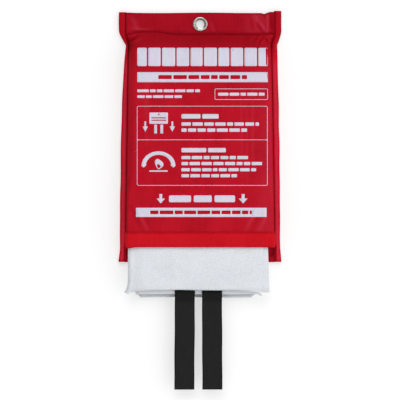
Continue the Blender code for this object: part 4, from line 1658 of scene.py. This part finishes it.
@dataclass
class Print:
    """The pouch's print: plain blocks and bars for wording, frames, arrows and two signs."""

    form: PouchForm
    title_widths: tuple[float, ...] = (11.8, 15.5, 16.4, 15.6, 15.0, 16.1, 13.6, 15.5, 15.5, 11.8)

    def title(self) -> list[Loop]:
        """A row of plain blocks."""
        found: list[Loop] = []
        at = -78.0
        gap = (161.8 - sum(self.title_widths)) / (len(self.title_widths) - 1)
        for width in self.title_widths:
            found.append(rectangle(at, -29.5, at + width, -52.5, 1.6))
            at += width + gap
        return found

    def bars(self) -> list[Loop]:
        """Two full-width bars with bars left open in them."""
        upper = [rectangle(-78.0, -60.0, 83.8, -72.5, 0.5), *words(-52, 58, -63.7, -68.6, 5, 19)]
        lower = [rectangle(-79.6, -228.0, 82.2, -239.4, 0.5), *words(-62, 64, -231.5, -235.9, 8, 17)]
        return upper + lower

    def frames(self) -> list[Loop]:
        """The small frame and the large one with its divider."""
        small = [rectangle(17.9, -80.4, 83.8, -94.2, 1.6), rectangle(18.5, -81.0, 83.2, -93.6, 1.2)]
        large = [rectangle(-78.4, -101.9, 83.5, -200.6, 2.2)]
        large += [rectangle(-77.8, -102.5, 82.9, -143.5, 1.7), rectangle(-77.8, -144.1, 82.9, -200.0, 1.7)]
        return small + large

    def lines(self) -> list[Loop]:
        """All the small lines of plain bars."""
        found: list[Loop] = []
        rows = [
            (-78, -0.4, -81.3, -84.9, 17), (-78, -22.7, -88.6, -92.0, 14), (22, 79.7, -85.4, -89.2, 13),
            (-23.3, 22.8, -111.9, -117.6, 40), (-23.3, 72.9, -122.2, -126.5, 14),
            (-23.3, 58, -129.7, -134.0, 15), (-23.3, 31.7, -153.9, -159.4, 40),
            (-23.3, 59.3, -163.8, -167.9, 15), (-23.3, 76.6, -171.2, -175.3, 16),
            (-23.3, 69.2, -178.9, -182.9, 14), (-23.3, 45.6, -186.3, -190.3, 15),
        ]
        for seed, (left, right, top, bottom, longest) in enumerate(rows):
            found += words(left, right, top, bottom, 80 + seed, longest)
        return found

    def call(self) -> list[Loop]:
        """The two arrows with a line of larger bars between them."""
        found = words(-38.7, 43.2, -212.6, -221.2, 97, 34)
        return [*found, down_arrow(-54.2, -43.6, -210.9, -222.7), down_arrow(47.5, 58.7, -210.9, -222.7)]

    def signs(self) -> list[Loop]:
        """A pouch with its tapes pulled down, and a flame under a draped blanket."""
        pouch = [rectangle(-63, -110, -40, -124, 1.2), disc(-51.5, -112.4, 0.9)]
        pouch += [rectangle(-60.5, -116, -42.5, -117.2, 0.3), rectangle(-60.5, -119, -42.5, -120.2, 0.3)]
        pouch += [rectangle(-57, -125, -53.6, -136, 0.4), rectangle(-49.4, -125, -46, -136, 0.4)]
        pouch += [down_arrow(-71.5, -64.8, -121, -134), down_arrow(-38, -31.2, -121, -134)]
        cover: Loop = [(-72.8, -176)]
        cover += arc(-51.7, -176, 21.1, 18, np.linspace(math.pi, 0, 21)[1:-1])
        cover += [(-30.6, -176), (-33.2, -178.2), (-36.5, -175.6)]
        cover += arc(-51.7, -175.6, 15.6, 13.2, np.linspace(0, math.pi, 21)[1:-1])
        cover += [(-66.9, -175.6), (-70.2, -178.2)]
        flame = self.flame(-51.7, -165.5, -180.5, 5.2)
        heart = self.flame(-51.7, -173.2, -179.3, 2.2)
        return [*pouch, cover, flame, heart, rectangle(-63, -181.6, -40.4, -183.4, 0.5)]

    @staticmethod
    def flame(x: float, tip: float, foot: float, half: float) -> Loop:
        """A drop with a pointed top, in millimetres."""
        found: Loop = []
        for angle in np.linspace(0, 2 * math.pi, 29)[:-1]:
            rise = (1 - math.cos(angle)) / 2
            width = half * math.sin(angle) * math.sin(math.pi * min(rise * 1.15, 1.0)) ** 0.35
            sway = 0.25 * half * math.sin(rise * 5.0)
            found.append((x + (width if abs(width) > 0.02 else 0.0) + sway, foot + (tip - foot) * rise))
        return found

    def build(self) -> None:
        """Build every layer of the print."""
        layers = {
            "print_title": self.title(), "print_bars": self.bars(), "print_frames": self.frames(),
            "print_lines": self.lines(), "print_call": self.call(), "print_signs": self.signs(),
        }
        for name, loops in layers.items():
            PrintLayer(self.form, name, loops).build()


# ---- Blanket and tapes -----------------------------------------------------------------

@dataclass
class FoldedBlanket:
    """The blanket: a square metre in six layers across, and that strip in four runs along.

    The sheet zigzags across in six layers.  That strip then runs up the front, over, down, up and
    down again at the rear, so the front leg ends in a free edge above the lowest folds.
    """

    levels: Levels
    cloth: float = 0.6 * MM
    pitch: float = 0.75 * MM
    layers: int = 6
    front_end: float = -329.2 * MM
    loop_end: float = -335.2 * MM
    front_leg: float = -21.85 * MM
    mouth: float = -276 * MM
    side_tuck: float = 2.0 * MM
    legs: tuple[float, ...] = (-15.25 * MM, -10.70 * MM, -6.15 * MM)

    def __post_init__(self) -> None:
        """Draw the unevenness of the folds."""
        draw = np.random.default_rng(5)
        self.uneven = draw.uniform(-1, 1, (4, self.layers + 1))
        self.soft = Ripples(91, 0.16 * MM, 0.085, 0.060)
        self.fine = Ripples(92, 0.06 * MM, 0.022, 0.019)

    def path(self) -> tuple[np.ndarray, np.ndarray, np.ndarray]:
        """The strip's middle line.

        Returns:
            The (y, z) of each row, its outward (y, z) and the number of its leg, from 0.
        """
        half = self.pitch * (self.layers - 1) / 2 + self.cloth / 2
        legs = (self.front_leg, *self.legs)
        pairs = ((legs[0], legs[1]), (legs[2], legs[3]))
        tops = [self.levels.pack_top - half - (b - a) / 2 for a, b in pairs]
        low_turn = self.loop_end + half + (legs[2] - legs[1]) / 2
        heights = (self.front_end, tops[0], low_turn, tops[1], self.levels.pack_bottom)
        ends = list(zip(heights, heights[1:]))
        spots, outs, numbers = [], [], []
        for leg, (start, end) in enumerate(ends):
            up = end > start
            fine, coarse = (2.0 * MM, 5.0 * MM) if leg in (0, 1, 3) else (4.0 * MM, 7.0 * MM)
            marks = [(start, fine if up else coarse), (self.mouth, coarse if up else fine), (end, 0)]
            for z in steps(*marks):
                spots.append((legs[leg], z))
                outs.append((-1.0 if up else 1.0, 0.0))
                numbers.append(leg)
            if leg == 3:
                break
            centre = (legs[leg] + legs[leg + 1]) / 2
            radius = (legs[leg + 1] - legs[leg]) / 2
            for angle in np.radians(np.linspace(180, 0, 9)[1:-1]):
                across, rise = math.cos(angle), math.sin(angle) * (1 if up else -1)
                spots.append((centre + radius * across, end + radius * rise))
                outs.append((across, rise) if up else (-across, -rise))
                numbers.append(leg + 0.5)
        return np.array(spots), np.array(outs), np.array(numbers)

    def sides(self, z: np.ndarray, leg: np.ndarray, layer: int, right: bool) -> np.ndarray:
        """Where a fold between two layers lies.

        Args:
            z: each row's height.
            leg: each row's leg.
            layer: the number of the fold, from 0 at the front layer's free edge.
            right: whether it is on the right.

        Returns:
            The fold's x in each row.
        """
        wide = ease(z, -225 * MM, self.mouth)
        down = np.clip((self.mouth - z) / (54 * MM), 0, 1.1)
        flare = ease(z, -306 * MM, -333 * MM) ** 3
        jitter = 1.1 * MM * np.array([self.uneven[int(n), layer] for n in np.floor(leg)])
        wave = 0.5 * MM * np.sin(z / (17 * MM) + layer * 1.7 + leg)
        front, last = leg < 1, leg > 2.6
        if right:
            narrow = 9 * MM * ease(z, -302 * MM, -331 * MM) + 10 * MM * ease(z, -331 * MM, -339 * MM)
            reach = np.where(front, 82.3 * MM + 1.0 * MM * wide + 2.1 * MM * down, 82.3 * MM - narrow)
            if layer <= 1:
                reach = np.where(front, 77.2 * MM - 1.8 * MM * down, reach)
        else:
            narrow = 9.5 * MM * ease(z, -320 * MM, -333 * MM) + 5 * MM * ease(z, -333 * MM, -339 * MM)
            behind = np.where(last, 83.8, 84.6) * MM + 4.0 * MM * wide
            reach = np.where(front, 81.2 * MM + 7.8 * MM * wide + 0.4 * MM * down + 5.0 * MM * flare,
                             behind + 0.5 * MM * down - narrow)
            if layer == 0:
                reach = reach - np.where(front, 0.9 * MM, 0.0)
        keep = 0.25 if layer <= 1 else 0.6
        value = reach + (jitter * 0.5 + wave * 0.5) * keep
        return value if right else -value

    def lower_edge(self, x: np.ndarray, layer: int) -> np.ndarray:
        """How far the front leg's free end hangs below its middle at x."""
        left = 4.2 * MM * bell(x, -0.0905, 5.0 * MM) + 1.4 * MM * ease(x, -0.060, -0.084)
        left = left - 2.4 * MM * ease(x, -0.0905, -0.0955)
        if layer <= 1:
            right = 4.6 * MM * np.clip((x - 0.034) / 0.043, 0, 1) ** 1.6 + 3.6 * MM * ease(x, 0.0715, 0.077)
        else:
            right = 2.6 * MM * ease(x, 0.050, 0.083) + 0.8 * MM * np.sin(x / 0.0022) * ease(x, 0.072, 0.080)
        stagger = 0.55 * MM * self.uneven[0, layer]
        return left + right + stagger + 0.35 * MM * np.sin(x / 0.013 + layer)

    def build(self) -> bpy.types.Object:
        spots, outs, legs = self.path()
        z = spots[:, 1]
        rows = []
        for layer in range(self.layers):
            rightward = layer % 2 == 0
            start = self.sides(z, legs, layer, not rightward)
            end = self.sides(z, legs, layer + 1, rightward)
            count = 44 if layer == 0 else 22
            offset = ((self.layers - 1) / 2 - layer) * self.pitch
            bend = self.pitch / 2
            inset_start = 0.0 if layer == 0 else bend
            inset_end = 0.0 if layer == self.layers - 1 else bend
            sign = 1 if rightward else -1
            share = np.linspace(0, 1, count)[None, :]
            first, last = start + sign * inset_start, end - sign * inset_end
            x = first[:, None] + (last - first)[:, None] * share
            rows.append(self.place(x, np.full(x.shape, offset), spots, outs, legs, layer))
            if layer < self.layers - 1:
                angle = np.radians(np.linspace(90, -90, 7)[1:-1])[None, :]
                turn_x = last[:, None] + sign * bend * np.cos(angle)
                turn_n = offset - bend + bend * np.sin(angle) + 0 * turn_x
                rows.append(self.place(turn_x, turn_n, spots, outs, legs, layer))
        points = np.concatenate(rows, axis=1)
        shade = self.shade(points, legs)
        piece = Sheet(points[:, ::-1], self.cloth, shade[:, ::-1]).build("blanket_folded")
        fit(piece, "blanket", GLASS_CLOTH, Slot.GLASS, "blanket")
        return piece

    def place(self, x: np.ndarray, offset: np.ndarray, spots: np.ndarray, outs: np.ndarray,
              legs: np.ndarray, layer: int) -> np.ndarray:
        """Put points of one layer along the folded path.

        Args:
            x: each point's x.
            offset: its distance out from the strip's middle line.
            spots: the (y, z) of each row.
            outs: each row's outward (y, z).
            legs: each row's leg.
            layer: the layer's number.

        Returns:
            Rows of points.
        """
        y = spots[:, :1] + outs[:, :1] * offset
        z = spots[:, 1:] + outs[:, 1:] * offset
        hang = ease(z, self.front_end + 30 * MM, self.front_end) * (legs < 1)[:, None]
        droop = self.lower_edge(x, layer) * hang
        wall = self.soft.relief(x, z) + self.fine.relief(x, z)
        free = np.where(legs < 1, 1.0, 0.35)[:, None] * ease(z, self.mouth, self.mouth - 10 * MM)
        curl = 0.5 * MM * ease(z, self.front_end + 7 * MM, self.front_end) * (legs < 1)[:, None]
        slack = ease(z, -318 * MM, -334 * MM) * (legs > 0.9)[:, None]
        sag = 0.27 * MM * slack * np.sin(x / 0.021)
        tuck = ease(x, -70 * MM, -84 * MM) * ease(z, -225 * MM, -250 * MM) * (legs < 1)[:, None]
        back = curl + self.side_tuck * tuck
        return np.stack([x, y - wall * free * 0.8 + back, z - droop - sag], axis=2)

    def shade(self, points: np.ndarray, legs: np.ndarray) -> np.ndarray:
        """Painted shade in the lower folds, where the lowest loop turns and along the front layer's free
        edge, and a darker patch between the tapes at the bottom.
        """
        x, z = points[..., 0], points[..., 2]
        deep = (legs > 0.9)[:, None] * (0.08 + 0.30 * bell(z, self.loop_end, 0.9 * MM))
        edge = 0.25 * bell(z, self.front_end, 1.2 * MM) * (legs < 1)[:, None]
        between = 0.5 * bell(x, -1.5 * MM, 4.5 * MM) * bell(z, -338.4 * MM, 1.6 * MM)
        between = between * (legs > 2.6)[:, None]
        return np.clip(deep + edge + between, 0, 1)


@dataclass
class PullTape:
    """One webbing tape, from its sewn end inside the blanket to its cut end."""

    levels: Levels
    name: str
    body: str
    lean: float
    thick: float = 1.2 * MM
    fold_start: float = 0.4 * MM
    fold_end: float = 6.0 * MM

    def build(self) -> bpy.types.Object:
        sewn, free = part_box(self.name + "_tape_sewn_end"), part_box(self.name + "_pull_tape")
        middle = (sewn[0].x + sewn[1].x) / 2
        half = (sewn[1].x - sewn[0].x) / 2
        y = (sewn[0].y + sewn[1].y) / 2
        z = steps((sewn[1].z, 4.0 * MM), (self.levels.crease + 5 * MM, 0.7 * MM),
                  (self.levels.crease - 9 * MM, 3.0 * MM), (free[0].z + 3 * MM, 0.8 * MM), (free[0].z, 0))
        share = np.linspace(-1, 1, 23)[None, :]
        z2 = z[:, None]
        hang = ease(z2, self.levels.crease - 6 * MM, free[0].z)
        bow = 0.35 * MM * np.sin(z2 / (24 * MM) + self.lean) * hang
        cup = 0.25 * MM * share**2 * hang
        drift = self.lean * 0.6 * MM * hang + 0.12 * MM * np.sin(z2 / (9 * MM))
        x = middle + drift + half * share * (1 + 0.004 * np.sin(z2 / (13 * MM)))
        points = np.stack([x, y + bow - cup + 0 * x, z2 + 0 * x], axis=2)
        cut = 1 - 0.35 * ease(z2, free[0].z + 0.6 * MM, free[0].z)
        thick = self.thick * (1 - 0.55 * np.abs(share) ** 9) * cut
        # Painted shade at the crease and over the upper part that lies in the blanket's shadow; darker at
        # the cut end.
        shade = 0.55 * bell(z2, self.levels.crease, 4 * MM) + 0.6 * ease(z2, -339 * MM, -332 * MM)
        shade = shade + 0.5 * ease(z2, free[0].z + 1.0 * MM, free[0].z)
        tape = Sheet(points, thick, np.clip(shade + 0 * x, 0, 1)).build(self.name + "_tape_webbing")
        tape.data.materials.append(BLACK_WEBBING.material())
        start = (middle, y, self.levels.crease + self.fold_start)
        end = (middle, y, self.levels.crease - self.fold_end)
        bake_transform(tape)
        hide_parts(self.name + "_tape_sewn_end", self.name + "_pull_tape")
        log.info("%s bends between blanket and %s", tape.name, self.body)
        self.sew(middle, y)
        return tape

    def sew(self, middle: float, y: float) -> None:
        """Sew the tape's box and cross on its sewn end."""
        low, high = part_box(self.name + "_tape_stitching")
        inset = 0.4 * MM
        left, right, foot, top = low.x + inset, high.x - inset, low.z + inset, high.z - inset
        face = y - self.thick / 2
        lines = [
            ((left, top), (right, top)), ((right, top), (right, foot)), ((right, foot), (left, foot)),
            ((left, foot), (left, top)), ((left, top), (right, foot)), ((left, foot), (right, top)),
        ]
        stitches = Stitches()
        for start, end in lines:
            share = np.linspace(0, 1, 12)[:, None]
            flat = np.array(start) + (np.array(end) - np.array(start)) * share
            stitches.run(np.stack([flat[:, 0], np.full(12, face), flat[:, 1]], axis=1), Vector((0, -1, 0)))
        piece = stitches.build(self.name + "_tape_box_stitches")
        fit(piece, "blanket", BLACK_THREAD, Slot.WEBBING, self.name + "_tape_stitching")


# ---- Studio ----------------------------------------------------------------------------

@dataclass
class Studio:
    """Wall, floor, soft light and camera."""

    lens: float = 200.0
    sensor: float = 36.0
    distance: float = 2.765
    aim: tuple[float, float] = (-0.25 * MM, -218.4 * MM)
    wall_gap: float = 0.6 * MM
    floor: float = -0.80
    reach: float = 4.0
    world: float = 0.80
    key: float = 1.22
    top: float = 1.06

    def plane(self, name: str, corners: Sequence[Sequence[float]]) -> bpy.types.Object:
        """A painted plane that only the camera sees."""
        mesh = bpy.data.meshes.new(name)
        mesh.from_pydata([tuple(c) for c in corners], [], [(0, 1, 2, 3)])
        mesh.materials.append(StudioPaint("studio_paint").material())
        made = bpy.data.objects.new(name, mesh)
        bpy.context.scene.collection.objects.link(made)
        for ray in ("diffuse", "glossy", "transmission", "volume_scatter", "shadow"):
            setattr(made, "visible_" + ray, False)
        return made

    def sun(self, name: str, azimuth: float, height: float, strength: float, width: float) -> None:
        """A broad soft light from far away.

        Args:
            name: its name.
            azimuth: where it stands, in degrees to the right of straight in front.
            height: how high it stands, in degrees.
            strength: its strength.
            width: its breadth in degrees.
        """
        data = bpy.data.lights.new(name, "SUN")
        data.energy = strength
        data.angle = math.radians(width)
        lamp = bpy.data.objects.new(name, data)
        bpy.context.scene.collection.objects.link(lamp)
        turn, rise = math.radians(azimuth), math.radians(height)
        level = math.cos(rise)
        towards = Vector((math.sin(turn) * level, -math.cos(turn) * level, math.sin(rise)))
        lamp.rotation_euler = towards.to_track_quat("Z", "Y").to_euler()

    def light_world(self) -> None:
        """A pale surround, dimmer overhead and straight behind the camera."""
        world = bpy.data.worlds.new("studio_world")
        bpy.context.scene.world = world
        world.use_nodes = True
        tree = Tree(world.node_tree)
        direction = tree.add("TexCoord", {}, {}, "Generated")
        up = tree.add("SeparateXYZ", {}, {0: direction}, 2)
        grey = [
            (0.0, 1.25), (0.30, 1.15), (0.44, 0.80), (0.58, 0.75), (0.75, 0.80), (0.90, 0.40), (1.0, 0.30),
        ]
        stops = [(place, (level, level, level)) for place, level in grey]
        ramp = tree.add("ValToRGB", {"stops": stops}, {0: up * 0.5 + 0.5})
        ahead = tree.add("SeparateXYZ", {}, {0: direction}, 1) * -1.0
        near = [(0.0, 1.0), (0.84, 1.0), (0.95, 0.12), (1.0, 0.05)]
        gloom = [(place, (level, level, level)) for place, level in near]
        dark = tree.add("ValToRGB", {"stops": gloom}, {0: ahead})
        sky = tree.add("VectorMath", {"operation": "MULTIPLY"}, {0: ramp, 1: dark})
        glow = tree.add("Background", {}, {"Color": sky, "Strength": self.world})
        tree.add("OutputWorld", {}, {"Surface": glow})

    def build(self) -> None:
        """Set up the whole studio."""
        scene = bpy.context.scene
        scene.view_settings.view_transform = "Standard"
        gap, low, wide = self.wall_gap, self.floor, self.reach
        wall = [(-wide, gap, low), (wide, gap, low), (wide, gap, wide), (-wide, gap, wide)]
        self.plane("studio_wall", wall)
        far = 1.25 * wide
        self.plane("studio_floor", [(-far, -far, low), (far, -far, low), (far, far, low), (-far, far, low)])
        turn = [math.radians(angle) for angle in range(0, 361, 15)]
        ring = [(1.2 * wide * math.cos(a), 1.2 * wide * math.sin(a)) for a in turn]
        for number, (near, far) in enumerate(zip(ring, ring[1:])):
            corners = [(*far, low), (*near, low), (*near, wide), (*far, wide)]
            self.plane(f"studio_sweep_{number}", corners)
        self.light_world()
        self.sun("key_light", 52, 4, self.key, 75)
        self.sun("top_light", -4, 38, self.top, 40)
        self.sun("rear_light", 170, 35, 1.1, 40)
        data = bpy.data.cameras.new("front_camera")
        data.lens, data.sensor_width = self.lens, self.sensor
        camera = bpy.data.objects.new("front_camera", data)
        scene.collection.objects.link(camera)
        camera.location = (self.aim[0], -self.distance, self.aim[1])
        camera.rotation_euler = (math.pi / 2, 0, 0)
        scene.camera = camera


# ---- Everything in order ---------------------------------------------------------------

def main() -> None:
    """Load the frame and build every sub-assembly round it."""
    logging.basicConfig(level=logging.INFO, format="%(name)s: %(message)s")
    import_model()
    levels = Levels.read()
    form = PouchForm(levels)
    FrontPanel(form).build()
    BackPanel(form).build()
    header, mouth, hem = HeaderBand(form), MouthBand(form), BackHem(form)
    left, right = SideBinding(form, -1, 1.0 * MM), SideBinding(form, 1, 2.6 * MM)
    header.build()
    mouth.build()
    hem.build()
    left.build("left_binding")
    right.build("right_binding")
    Seams(header, left, right, mouth, hem).build()
    Eyelet().build()
    Print(form).build()
    FoldedBlanket(levels).build()
    PullTape(levels, "left", "left_tape", -1.0).build()
    PullTape(levels, "right", "right_tape", 0.6).build()
    Studio().build()


if __name__ == "__main__":
    main()
